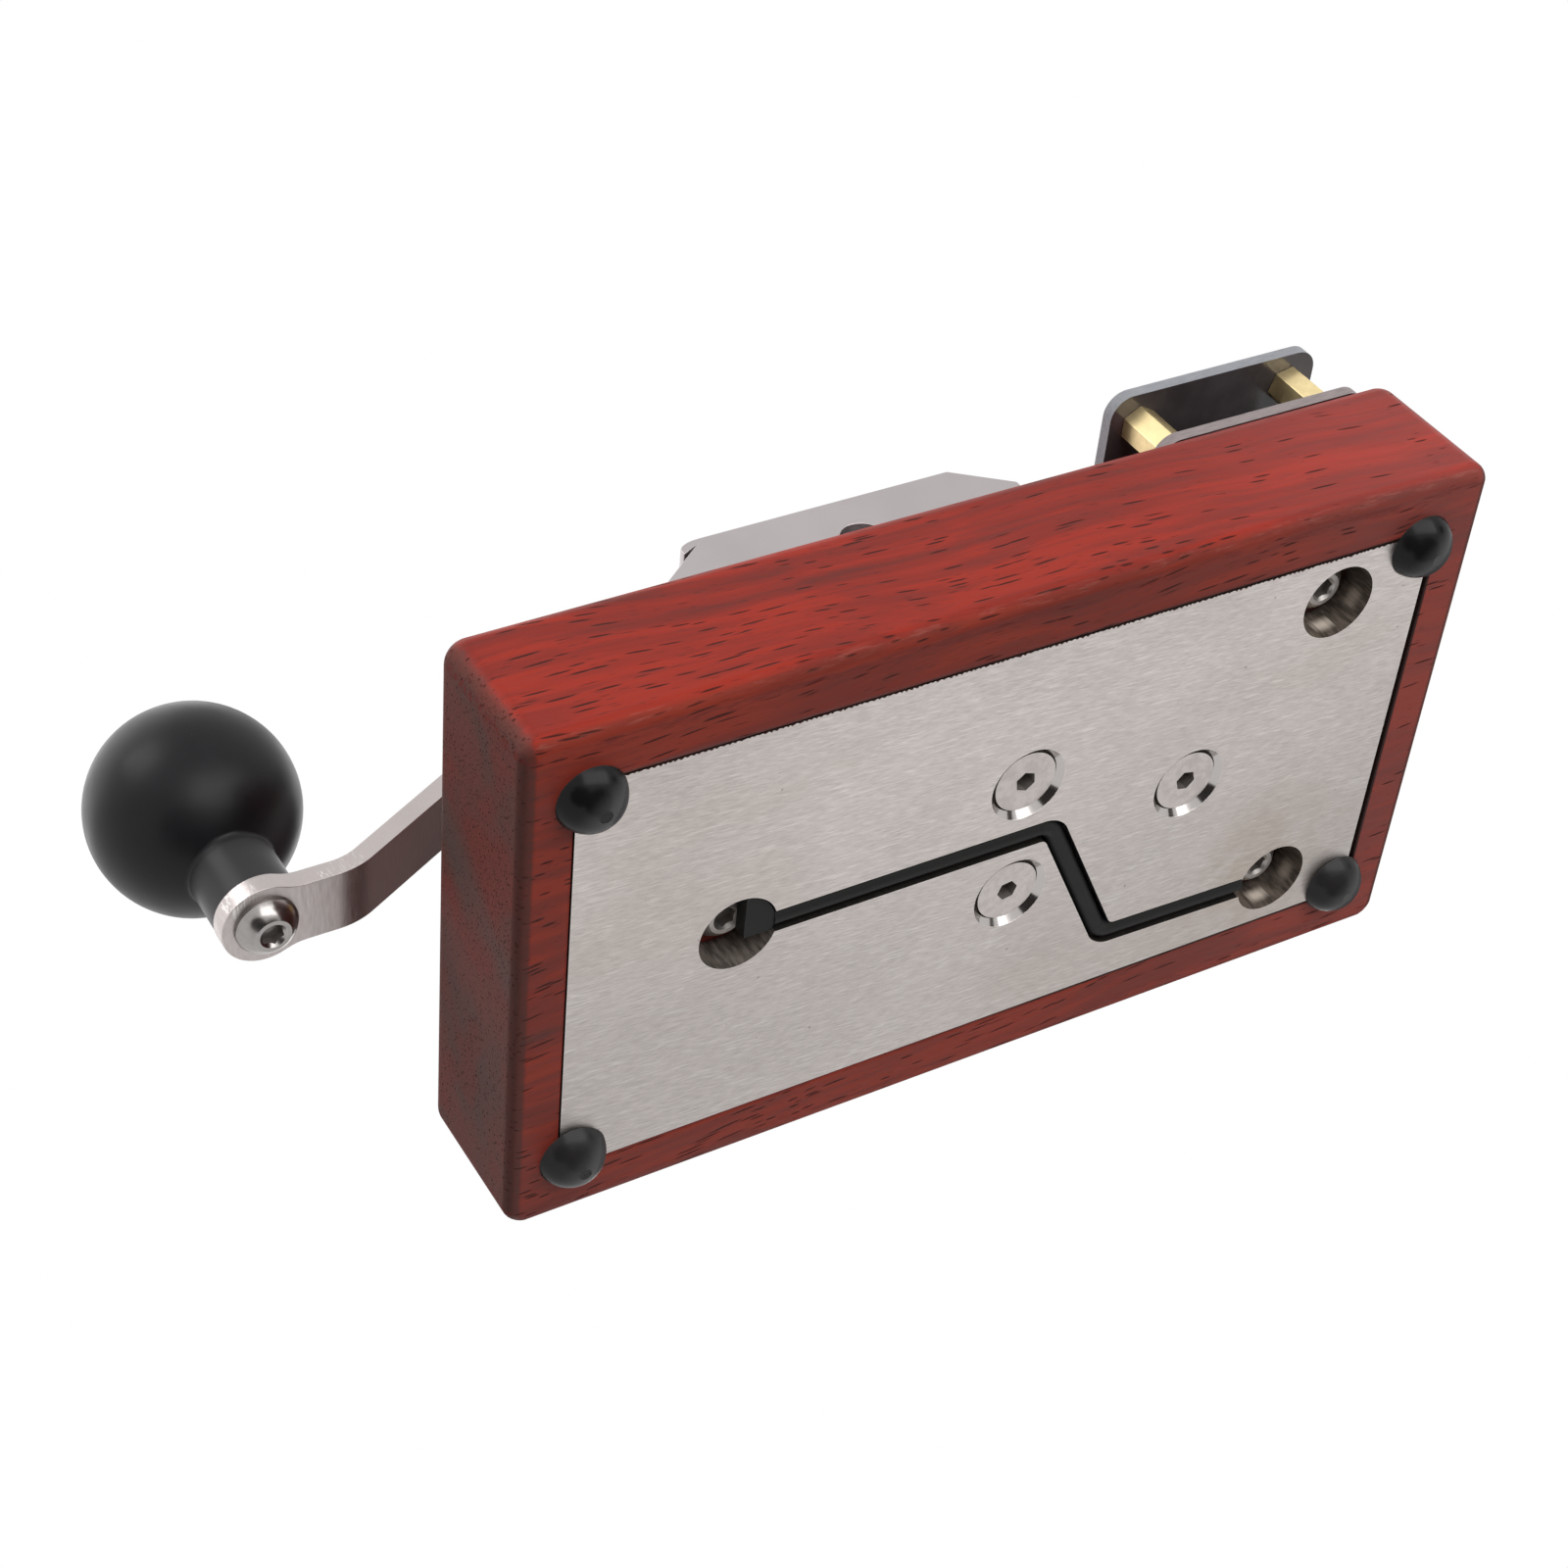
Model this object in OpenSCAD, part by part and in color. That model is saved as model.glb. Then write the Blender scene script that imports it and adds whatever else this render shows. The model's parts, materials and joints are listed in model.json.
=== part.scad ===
// Straight telegraph key on a hardwood base, with a ball knob on a bent steel lever.
// Bench frame: x across the base, y from its front edge to the rear, z up from its underside.
// Every piece is moved from there so that the key stands on its feet, centred on the origin.

/* [Wood base] */
// Length of the wood base, front to rear
base_l = 130; // [126:1:170]
// Width of the wood base
base_w = 73.6; // [70:0.2:96]
// Height of the wood base
base_h = 21; // [16:0.5:30]
// Radius of the rounded edges
base_edge_r = 1.7; // [0.6:0.1:3]

/* [Base plate] */
// Thickness of the steel plate
plate_t = 5; // [4.2:0.1:7]
// Wood left beside the plate on each side
plate_side = 7.6; // [6:0.1:10]
// Wood left in front of the plate
plate_front = 6.4; // [5:0.1:10]
// Wood left behind the plate
plate_rear = 7.3; // [5:0.1:10]
// Corner radius of the plate
plate_corner_r = 2; // [1:0.1:4]
// Gap round the plate in its pocket
plate_gap = 0.25; // [0.1:0.05:0.5]
// Extra gap at the rear end of the pocket
plate_rear_gap = 0.5; // [0:0.05:1]
// Gap round a button head in its access hole
access_gap = 1.35; // [0.8:0.05:1.8]
// How deep a countersunk head lies below the plate's face
sink_below = 0.67; // [0.1:0.01:1]

/* [Wire channel] */
// Diameter of the keying wire
wire_d = 2.8; // [2:0.1:3.2]
// Gap between the wire and each side of the channel
channel_side_gap = 0.2; // [0.15:0.05:0.5]
// Gap between the wire and the bottom of the channel
channel_deep_gap = 0.1; // [0.1:0.05:0.4]
// Radius of the channel's bends along its middle
channel_bend_r = 2.6; // [2:0.1:5]
// How far behind the front housing screws the channel turns aside
channel_turn = 5; // [4:0.1:8]
// Angle of the slanted leg to the side
channel_slant = 26.6; // [20:0.1:32]
// How far the rear leg starts inside the terminal screw's line
channel_lean = 0.7; // [0:0.1:1]

/* [Feet] */
// Diameter of a rubber foot
foot_d = 8.6; // [7:0.1:11]
// Height of a rubber foot
foot_h = 3.4; // [2.4:0.1:4]
// Diameter of the flat that a foot stands on
foot_flat_d = 1.6; // [1:0.1:4]
// How far a foot's centre lies inside the plate's corner
foot_inset = 1.8; // [0:0.1:4]

/* [Bearing housing] */
// Metal left outside each bearing
bearing_wall = 5.3; // [3:0.1:8]
// How far the housing reaches in front of the travel screw
housing_nose = 15.6; // [14:0.1:17]
// Angle of the sloped ends
housing_slope = 37.6; // [33:0.2:45]
// Length of the rear slope, measured level
rear_slope_l = 7.3; // [5:0.1:9]
// How far the front slope starts below the top, at the front face
front_slope_drop = 8.1; // [6.5:0.1:10]
// Gap between the lever and each side of the slot
slot_gap = 0.5; // [0.3:0.05:1]
// Gap between the lever's end and the rear of the slot
slot_end_gap = 1.5; // [0.5:0.1:3]
// Solid metal left at the rear of the slot
slot_rear_wall = 8.7; // [7:0.1:12]
// Height of the slot above the lever
slot_room = 7.5; // [7.2:0.1:10]
// Metal left above the slot
bridge_t = 4; // [3.2:0.1:6]
// Distance of the front housing screws from the sides of the slot
housing_screw_off = 3.9; // [3.3:0.1:5]
// How far in front of the pivot those screws stand
housing_screw_ahead = 3.6; // [0:0.1:8]
// Distance of the rear housing screw from the housing's rear face
rear_screw_inset = 3.5; // [3:0.1:4.5]

/* [Pivot] */
// Place of the pivot along the base
pivot_y = 70.3; // [68:0.1:73]
// Height of the pivot above the lever
pivot_rise = 3.2; // [2.8:0.1:3.6]
// Diameter of the axle
axle_d = 4; // [3:0.1:4.8]
// Outer diameter of a bearing
bearing_d = 10; // [9:0.1:12]
// Width of a bearing
bearing_w = 4; // [3:0.1:5]
// Diameter of a bearing ball
bearing_ball_d = 1.6; // [1.2:0.1:1.9]
// Number of balls in a bearing
bearing_balls_n = 9; // [6:1:10]
// Gap between the inner rings and the side holes that the axle is fitted through
axle_access_gap = 0.1; // [0.1:0.05:0.4]
// Gap between the pivot block and the tension screw
block_end_gap = 0.8; // [0.5:0.1:1.5]
// Gap between the pivot block and the top of the slot
block_top_gap = 0.6; // [0.4:0.1:1.2]

/* [Lever] */
// Width of the lever bar
lever_w = 8.4; // [7:0.1:10.2]
// Thickness of the lever bar
lever_t = 2.5; // [2:0.1:3.2]
// Underside of the knob pad above the top of the base
lever_low = 2.9; // [2:0.1:5]
// Rise from the pad to the level part of the lever
lever_rise = 14.7; // [12:0.1:18]
// Slope of the lever between its bends
lever_slope = 28; // [24:0.5:34]
// How far in front of the contacts the rear bend lies
lever_bend_ahead = 8.45; // [6:0.05:10]
// Inner radius of the bends
lever_bend_r = 7.5; // [4:0.5:9]
// Diameter of the round knob pad
pad_d = 10.6; // [10:0.1:13]
// Radius of the fillets where the pad meets the bar
pad_fillet_r = 6; // [3:0.5:8]
// Length of the lever behind the tension screw
lever_tail = 3.4; // [2:0.1:5]

/* [Knob] */
// Diameter of the ball knob
knob_d = 25.4; // [20:0.2:32]
// Distance from the knob to the lever's front bend
knob_ahead = 11.3; // [9.4:0.1:15]
// Length of the neck between the lever and the ball
neck_l = 6.5; // [3:0.1:12]
// Diameter of the knob's neck
neck_d = 10.4; // [9:0.1:13]
// Radius of the fillet between neck and ball
neck_fillet_r = 0.8; // [0.4:0.1:2]
// Wall of the threaded insert
insert_wall = 1; // [0.7:0.1:1.5]
// Length of the threaded insert
insert_l = 10; // [8:0.5:12]

/* [Contacts] */
// Place of the contacts along the base
contact_y = 28.2; // [24:0.1:33]
// Gap between the open contacts
contact_gap = 0.8; // [0.4:0.1:1.2]
// Diameter of the contact discs
contact_d = 5; // [3:0.1:6]
// Thickness of a contact disc
contact_t = 1.2; // [0.8:0.1:2]
// Diameter of the contact post
post_d = 10; // [8:0.2:12]
// How far the post's flange stands out
post_flange_w = 1.5; // [1:0.1:3]
// Thickness of that flange
post_flange_t = 2; // [1:0.1:3]

/* [Adjusting screws] */
// How far in front of the pivot the travel screw stands
travel_arm = 13.7; // [12.5:0.1:15.5]
// How far behind the pivot the tension screw stands
tension_arm = 11.3; // [11:0.1:14]
// Diameter of the travel screw
travel_d = 5; // [4:0.1:6]
// Wall of the tension screw round its cup
cup_wall = 0.8; // [0.6:0.1:1.2]
// Gap between the spring and that wall
cup_gap = 0.25; // [0.15:0.05:0.5]
// Diameter of the knurled heads
head_d = 10; // [9:0.2:12]
// Height of the knurled heads
head_h = 4; // [3:0.1:5]
// Thickness of the lock rings
ring_t = 2.5; // [2:0.1:4]
// Gap between a lock ring and the head above it
ring_gap = 0.6; // [0.4:0.1:2]
// Number of grooves in a knurl
knurl_n = 40; // [24:1:48]
// Depth of those grooves
knurl_depth = 0.3; // [0.2:0.05:0.4]

/* [Return spring] */
// Diameter of the spring wire
spring_wire_d = 0.5; // [0.4:0.05:0.6]
// Mean diameter of the spring
spring_d = 3.4; // [2.9:0.1:4]
// Number of turns
spring_turns = 8; // [5:1:8]

/* [Terminal box] */
// Thickness of a circuit board
board_t = 1.6; // [1.2:0.1:2]
// How far the boards stay inside the sides of the base
board_side = 1.1; // [0.5:0.1:3]
// Gap between the housing and the boards
board_front_gap = 0.5; // [0.4:0.1:2]
// How far the boards stay inside the rear of the base
board_rear = 2.8; // [1.5:0.1:4]
// Corner radius of the boards
board_corner_r = 3; // [1:0.1:5]
// Width across the flats of a standoff
standoff_af = 4.5; // [4:0.1:6]
// How far a standoff lies inside the edges of the boards
standoff_inset = 4.3; // [3.6:0.1:6]
// How far the front and the rear standoffs are turned
standoff_turns = [30, 48];
// Distance of the terminal screws from the middle
terminal_x = 22.3; // [20:0.1:24]
// How far behind the front edge of the boards they stand
terminal_behind = 13.8; // [11:0.1:16]

/* [Jack] */
// Bore of the jack, for a 3.5 mm plug
jack_bore_d = 3.6; // [3:0.05:4.4]
// Width of the jack's body
jack_w = 12; // [9:0.1:14]
// Length of the jack's body
jack_l = 13; // [12:0.1:15]
// Wall of the jack's body above and below the bushing
jack_wall = 0.6; // [0.4:0.1:1.5]
// Free height above the jack
jack_room = 1.4; // [0.5:0.1:5]
// Wall of the jack's bushing
bushing_wall = 1.2; // [0.8:0.1:1.6]
// Length of the bushing
bushing_l = 5; // [4:0.1:6]
// How far the bushing stands out behind the boards
bushing_out = 1.5; // [0.5:0.1:1.6]

/* [Fasteners and fits] */
// Diameter of the larger screws
m4_d = 4; // [3.4:0.1:4.8]
// Diameter of the smaller screws
m3_d = 3; // [2.6:0.1:3.4]
// Clearance of a screw in a plain hole, on the radius
hole_fit = 0.2; // [0.15:0.05:0.3]
// Clearance of a screw in a threaded hole, on the radius
thread_fit = 0.05; // [0.02:0.01:0.08]
// Clearance of a turned fit, on the radius
turned_fit = 0.02; // [0.01:0.01:0.04]
// Height that a countersunk head is drawn off its seat
seat_gap = 0.03; // [0.01:0.01:0.05]
// Thickness of the ring terminals
lug_t = 0.5; // [0.4:0.1:0.8]

/* [Hidden] */

$fn = 64;
eps = 0.01;

// Colours as the photo shows them
wood_c = [0.52, 0.13, 0.09];
steel_c = [0.72, 0.70, 0.68];
housing_c = [0.74, 0.73, 0.73];
black_c = [0.06, 0.06, 0.06];
brass_c = [0.83, 0.66, 0.35];
silver_c = [0.86, 0.86, 0.88];
board_c = [0.04, 0.04, 0.05];

// Base plate in its pocket
plate_w = base_w - 2 * plate_side;
plate_l = base_l - plate_front - plate_rear;
plate_mid_y = plate_front + plate_l / 2;

// Places along the base that follow from the pivot and the contacts
travel_y = pivot_y - travel_arm;
tension_y = pivot_y + tension_arm;
lever_end_y = tension_y + lever_tail;
slot_rear_y = lever_end_y + slot_end_gap;
housing_front_y = travel_y - housing_nose;
housing_rear_y = slot_rear_y + slot_rear_wall;
board_y = housing_rear_y + board_front_gap;
terminal_y = board_y + terminal_behind;
rear_bend_y = contact_y - lever_bend_ahead;
front_bend_y = rear_bend_y - lever_rise / tan(lever_slope);
knob_y = front_bend_y - knob_ahead;

// Where the whole key lies, for its origin at the middle of its footprint
key_front = knob_y - knob_d / 2;
key_mid_y = (key_front + base_l) / 2;

// Heights that follow from the lever
pad_z = base_h + lever_low;
bar_z = pad_z + lever_rise;
bar_top_z = bar_z + lever_t;
pivot_z = bar_top_z + pivot_rise;
slot_top_z = bar_top_z + slot_room;
top_z = slot_top_z + bridge_t;

// Housing screws
slot_w = lever_w + 2 * slot_gap;
housing_w = slot_w + 2 * (bearing_w + bearing_wall);
housing_screw_x = slot_w / 2 + housing_screw_off;
housing_screw_y = pivot_y - housing_screw_ahead;
rear_screw_y = housing_rear_y - rear_screw_inset;
housing_screws_at = [[-housing_screw_x, housing_screw_y], [housing_screw_x, housing_screw_y],
    [0, rear_screw_y]];
terminals_at = [[-terminal_x, terminal_y], [terminal_x, terminal_y]];

// Wire channel, as corner points of its middle line
channel_w = wire_d + 2 * channel_side_gap;
channel_d = wire_d + 2 * channel_deep_gap;
channel_turn_y = housing_screw_y + channel_turn;
channel_pts = [[0, contact_y], [0, channel_turn_y],
    [channel_lean - terminal_x, channel_turn_y + (terminal_x - channel_lean) * tan(channel_slant)],
    [-terminal_x, terminal_y]];
wire_z = channel_d / 2;

// Button heads and countersunk heads
function button_w(d) = d * 1.9;
function button_h(d) = d * 0.55;
m4_head_d = button_w(m4_d);
m4_head_h = button_h(m4_d);
m3_head_d = button_w(m3_d);
m3_head_h = button_h(m3_d);
access_d = m4_head_d + 2 * access_gap;
m4_hex = m4_d * 0.625;
m3_hex = m3_d * 0.667;
sink_cone_d = m4_d * 2.24;
sink_rim_d = m4_d * 2.1;
sink_d = sink_cone_d + 2 * sink_below;
housing_screw_turns = [21, 51, 43];
knob_screw_turn = 51;
block_cone_d = m3_d * 1.9;
block_rim_d = m3_d * 1.8;
block_sink_depth = 0.15;

// Housing profile
rear_slope_z = top_z - rear_slope_l * tan(housing_slope);
front_slope_z = top_z - front_slope_drop;
lip_corner_drop = 1.45;
lip_corner_y = housing_front_y + (front_slope_drop - lip_corner_drop) / tan(housing_slope);
lip_y = lip_corner_y - 1.9;
lip_under_z = top_z - 2.3;
lip_face_z = top_z - 1.5;
lip_round_y = 3.2;
lip_round_z = 1.5;

// Pivot and bearings
bearing_x = slot_w / 2;
bearing_mid_x = bearing_x + bearing_w / 2;
race_r = (bearing_d + axle_d) / 4;
race_land = bearing_ball_d * 0.32;
ball_fit = 0.02;
shim_t = slot_gap - 2 * turned_fit;
axle_access_d = 2 * (race_r - race_land + axle_access_gap);

// Cup of the tension screw
cup_d = spring_d + spring_wire_d + 2 * cup_gap;
tension_d = cup_d + 2 * cup_wall;

// Lever profile
outer_bend_r = lever_bend_r + lever_t;
front_arc_y = front_bend_y - outer_bend_r * tan(lever_slope / 2);
front_arc_z = pad_z + outer_bend_r;
rear_arc_y = rear_bend_y + lever_bend_r * tan(lever_slope / 2);
rear_arc_z = bar_z - lever_bend_r;
bend_step = 2;
block_l = 2 * (tension_arm - tension_d / 2 - block_end_gap);
block_h = slot_room - block_top_gap;
block_screw_y = block_l / 2 - 2.8;

// Knob
neck_z = pad_z + lever_t;
knob_z = neck_z + neck_l + knob_d / 2;
insert_d = m4_d + 2 * insert_wall;

// Contacts
lever_tip_z = bar_z - contact_t - 0.4;
post_contact_z = lever_tip_z - contact_gap;
post_top_z = post_contact_z - contact_t;
rivet_d = contact_d * 0.62;

// Screw lengths into metal
housing_thread = 9;
post_thread = 9;

// Wire ends
lug_d = m4_head_d;
lug_w = 2;
lug_gap = 0.2;
tongue_y = lug_d / 2 + 0.25;
sleeve_r = access_d / 2 - 0.2;
sleeve_low_z = 0.35;
sleeve_top_z = plate_t - m4_head_h - 0.5;

// Adjusting screws
ring_z = top_z;
head_z = ring_z + ring_t + ring_gap;
rest_gap = 0.03;
tension_tip_z = bar_top_z + 5.2;
cup_z = top_z - 0.3;

// Jack's sizes across
bushing_d = jack_bore_d + 2 * bushing_wall;
jack_h = bushing_d + 2 * jack_wall;
cavity_d = jack_bore_d + 1.4;

// Terminal box
standoff_l = jack_h + jack_room;
board_w = base_w - 2 * board_side;
board_l = base_l - board_rear - board_y;
board_top = base_h + board_t;
upper_z = board_top + standoff_l;
standoff_x = board_w / 2 - standoff_inset;
standoff_ys = [board_y + standoff_inset, board_y + board_l - standoff_inset];
washer_t = 0.8;
nut_af = m4_d * 1.75;
nut_h = m4_d * 0.8;
strap_t = 0.5;
strap_w = 6;
strap_eye_d = m4_d + 5;
strap_gap = 0.2;

// Jack's place
jack_lift = 0.1;
jack_z = board_top + jack_h / 2 + jack_lift;
jack_rear_y = board_y + board_l;
jack_front_y = jack_rear_y - jack_l;

// Moves a piece from the bench frame to the key's own frame
module placed() {
    translate([0, -key_mid_y, foot_h])
        children();
}

// Rounded rectangle centred on the origin
module round_rect(w, l, r) {
    square([w - 2 * r, l], center = true);
    square([w, l - 2 * r], center = true);
    for (sx = [-1, 1], sy = [-1, 1])
        translate([sx * (w / 2 - r), sy * (l / 2 - r)])
            circle(r);
}

// Block with all its edges rounded, centred on the origin
module round_block(w, l, h, r) {
    intersection() {
        linear_extrude(h, center = true)
            round_rect(w, l, r);
        rotate([90, 0, 0])
            linear_extrude(l, center = true)
                round_rect(w, h, r);
        rotate([90, 0, 90])
            linear_extrude(w, center = true)
                round_rect(l, h, r);
    }
}

// Upright hole or rod from one height to another
module upright(x, y, z_low, z_high, d) {
    translate([x, y, z_low])
        cylinder(h = z_high - z_low, d = d);
}

// Rod along x, centred on the pivot
module along_pivot(x_low, x_high, d) {
    translate([x_low, pivot_y, pivot_z])
        rotate([0, 90, 0])
            cylinder(h = x_high - x_low, d = d);
}

// Hexagonal prism by its width across the flats
module hex_prism(af, h) {
    cylinder(h = h, d = af / cos(30), $fn = 6);
}

// Button-head screw: seat at z = 0, domed head with a flat crest below it and shank above
module button_screw(d, hex, turn, shank_l) {
    head_r = button_w(d) / 2;
    high = button_h(d);
    band = d * 0.1;
    crest_r = head_r * 0.58;
    mouth_r = hex * 0.67;
    dome_z = (head_r * head_r + band * band - crest_r * crest_r - high * high) / (2 * (high - band));
    difference() {
        union() {
            intersection() {
                translate([0, 0, -high])
                    cylinder(h = high, r = head_r);
                translate([0, 0, dome_z])
                    sphere(norm([head_r, dome_z + band]));
            }
            translate([0, 0, -band])
                cylinder(h = shank_l + band, d = d);
        }
        translate([0, 0, -high - eps])
            rotate([0, 0, turn])
                hex_prism(hex, high * 0.62);
        translate([0, 0, -high - eps])
            cylinder(h = mouth_r - hex / 2, r1 = mouth_r, r2 = hex / 2);
    }
}

// Countersunk screw: face of the head at z = 0 and the shank above
module sunk_screw(d, cone_w, rim_w, hex, turn, l) {
    band = (cone_w - rim_w) / 2;
    difference() {
        union() {
            cylinder(h = band, d = rim_w);
            translate([0, 0, band])
                cylinder(h = (rim_w - d) / 2, d1 = rim_w, d2 = d);
            cylinder(h = l, d = d);
        }
        translate([0, 0, -eps])
            rotate([0, 0, turn])
                hex_prism(hex, d * 0.5);
    }
}

// Countersink from z = 0 upwards, for taking away
module sink(d_top, d_hole) {
    translate([0, 0, -eps])
        cylinder(h = (d_top - d_hole) / 2 + eps, d1 = d_top + 2 * eps, d2 = d_hole);
}

// Straight-knurled disc
module knurled(d, h, depth) {
    linear_extrude(h)
        polygon([for (i = [0 : 2 * knurl_n - 1])
            (d / 2 - (i % 2) * depth) * [cos(i * 180 / knurl_n), sin(i * 180 / knurl_n)]]);
}

// Wire channel: direction of each leg, turn at each corner and what a bend takes off the legs
function heading(i) = atan2(channel_pts[i + 1][1] - channel_pts[i][1],
    channel_pts[i + 1][0] - channel_pts[i][0]);
function turn(i) = heading(i) - heading(i - 1);
function corner_cut(i) = i == 0 || i == len(channel_pts) - 1 ? 0 : channel_bend_r * tan(abs(turn(i)) / 2);
function bend_centre(i) = channel_pts[i]
    - corner_cut(i) * [cos(heading(i - 1)), sin(heading(i - 1))]
    + sign(turn(i)) * channel_bend_r * [-sin(heading(i - 1)), cos(heading(i - 1))];

// Sweeps a small flat outline along the straight legs of the channel
module on_legs(over, start_cut, end_cut) {
    last = len(channel_pts) - 2;
    for (i = [0 : last]) {
        before = i == 0 ? start_cut : corner_cut(i) - over;
        behind = i == last ? end_cut : corner_cut(i + 1) - over;
        translate(channel_pts[i])
            rotate([0, 0, heading(i)])
                translate([before, 0, 0])
                    rotate([90, 0, 90])
                        linear_extrude(norm(channel_pts[i + 1] - channel_pts[i]) - before - behind)
                            children();
    }
}

// Sweeps a small flat outline round the bends of the channel
module on_bends() {
    for (i = [1 : len(channel_pts) - 2])
        translate(bend_centre(i))
            rotate([0, 0, turn(i) > 0 ? heading(i - 1) - 90 : heading(i) + 90])
                rotate_extrude(angle = abs(turn(i)))
                    translate([channel_bend_r, 0])
                        children();
}

module channel_outline(wider) {
    translate([-channel_w / 2 - wider, -eps])
        square([channel_w + 2 * wider, channel_d + eps]);
}

// Outline of the frame strap: an eye at each end and a straight bar
module strap_outline(grow) {
    a = [0, rear_screw_y];
    b = [terminal_x, terminal_y];
    for (p = [a, b])
        translate(p)
            circle(d = strap_eye_d + 2 * grow);
    translate(a)
        rotate(atan2(b[1] - a[1], b[0] - a[0]))
            translate([0, -strap_w / 2 - grow])
                square([norm(b - a), strap_w + 2 * grow]);
}

module wood_base() {
    placed() color(wood_c)
        difference() {
            translate([0, base_l / 2, base_h / 2])
                round_block(base_w, base_l, base_h, base_edge_r);
            translate([0, plate_mid_y + plate_rear_gap / 2, -eps])
                linear_extrude(plate_t + eps)
                    round_rect(plate_w + 2 * plate_gap, plate_l + 2 * plate_gap + plate_rear_gap,
                        plate_corner_r + plate_gap);
            for (p = concat(housing_screws_at, terminals_at, [[0, contact_y]]))
                upright(p[0], p[1], -eps, base_h + eps, m4_d + 2 * hole_fit);
            for (sx = [-1, 1], y = standoff_ys)
                upright(sx * standoff_x, y, base_h - m3_head_h - 0.6, base_h + eps, m3_head_d + 1);
            at_lugs() {
                upright(0, 0, plate_t - eps, plate_t + lug_t, lug_d + 2 * lug_gap);
                translate([-lug_w / 2 - lug_gap, 0, plate_t - eps])
                    cube([lug_w + 2 * lug_gap, tongue_y + lug_t + lug_gap, lug_t + eps]);
            }
            translate([0, 0, base_h - strap_t])
                linear_extrude(strap_t + eps)
                    strap_outline(strap_gap);
        }
}

module base_plate() {
    placed() color(steel_c)
        difference() {
            translate([0, plate_mid_y, 0])
                linear_extrude(plate_t)
                    round_rect(plate_w, plate_l, plate_corner_r);
            for (p = concat(terminals_at, [[0, contact_y]]))
                upright(p[0], p[1], -eps, plate_t + eps, access_d);
            for (p = housing_screws_at) {
                translate(p)
                    sink(sink_d, m4_d + 2 * hole_fit);
                upright(p[0], p[1], -eps, plate_t + eps, m4_d + 2 * hole_fit);
            }
            on_legs(0.02, 0, 0)
                channel_outline(0);
            on_bends()
                channel_outline(0.02);
        }
}

// Each foot is a slice of a ball, cut flat where it stands
module rubber_feet() {
    rise = (foot_d * foot_d / 4 - foot_flat_d * foot_flat_d / 4 - foot_h * foot_h) / (2 * foot_h);
    ball_r = sqrt(foot_d * foot_d / 4 + rise * rise);
    placed() color(black_c)
        for (sx = [-1, 1], y = [plate_front + foot_inset, base_l - plate_rear - foot_inset])
            translate([sx * (plate_w / 2 - foot_inset), y, 0])
                intersection() {
                    translate([0, 0, rise])
                        sphere(ball_r);
                    translate([0, 0, -foot_h])
                        cylinder(h = foot_h, d = foot_d + 1);
                }
}

// Side profile of the housing, with its sloped ends and the lip over the front slope
function housing_profile() = concat(
    [[housing_front_y, base_h], [housing_rear_y, base_h], [housing_rear_y, rear_slope_z],
        [housing_rear_y - rear_slope_l, top_z]],
    [for (a = [0 : 15 : 90])
        [lip_y + lip_round_y * (1 - sin(a)), lip_face_z + lip_round_z * cos(a)]],
    [[lip_y, lip_under_z], [lip_corner_y, top_z - lip_corner_drop],
        [housing_front_y, front_slope_z]]);

module bearing_housing() {
    placed() color(housing_c)
        difference() {
            rotate([90, 0, 90])
                linear_extrude(housing_w, center = true)
                    polygon(housing_profile());
            translate([-slot_w / 2, housing_front_y - 10, base_h - eps])
                cube([slot_w, slot_rear_y - housing_front_y + 10, slot_top_z - base_h + eps]);
            along_pivot(-housing_w, housing_w, axle_access_d);
            along_pivot(-bearing_x - bearing_w, bearing_x + bearing_w, bearing_d + 2 * turned_fit);
            for (p = housing_screws_at)
                upright(p[0], p[1], base_h - eps, base_h + housing_thread + 1, m4_d + 2 * thread_fit);
            upright(0, travel_y, slot_top_z - 1, top_z + eps, travel_d + 2 * thread_fit);
            upright(0, tension_y, slot_top_z - 1, top_z + eps, tension_d + 2 * thread_fit);
        }
}

module housing_screws() {
    placed() color(steel_c)
        for (i = [0 : 2])
            translate([housing_screws_at[i][0], housing_screws_at[i][1], sink_below - seat_gap])
                sunk_screw(m4_d, sink_cone_d, sink_rim_d, m4_hex, housing_screw_turns[i],
                    base_h + housing_thread - 1 - sink_below);
}

// Places its children on both bearings
module on_bearings() {
    for (sx = [-1, 1])
        translate([sx * bearing_mid_x, pivot_y, pivot_z])
            rotate([0, 90, 0])
                children();
}

module race_groove() {
    translate([race_r, 0])
        circle(d = bearing_ball_d + 2 * ball_fit, $fn = 32);
}

module bearing_outer_rings() {
    placed() color(steel_c)
        on_bearings()
            rotate_extrude()
                difference() {
                    translate([race_r + race_land, -bearing_w / 2])
                        square([bearing_d / 2 - race_r - race_land, bearing_w]);
                    race_groove();
                }
}

module bearing_inner_rings() {
    placed() color(steel_c)
        on_bearings()
            rotate_extrude()
                difference() {
                    translate([axle_d / 2 + turned_fit, -bearing_w / 2])
                        square([race_r - race_land - axle_d / 2 - turned_fit, bearing_w]);
                    race_groove();
                }
}

module bearing_balls() {
    placed() color(silver_c)
        on_bearings()
            for (i = [0 : bearing_balls_n - 1])
                rotate([0, 0, i * 360 / bearing_balls_n])
                    translate([race_r, 0, 0])
                        sphere(d = bearing_ball_d, $fn = 32);
}

module pivot_axle() {
    placed() color(silver_c)
        along_pivot(-bearing_x - bearing_w - 0.2, bearing_x + bearing_w + 0.2, axle_d);
}

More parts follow.
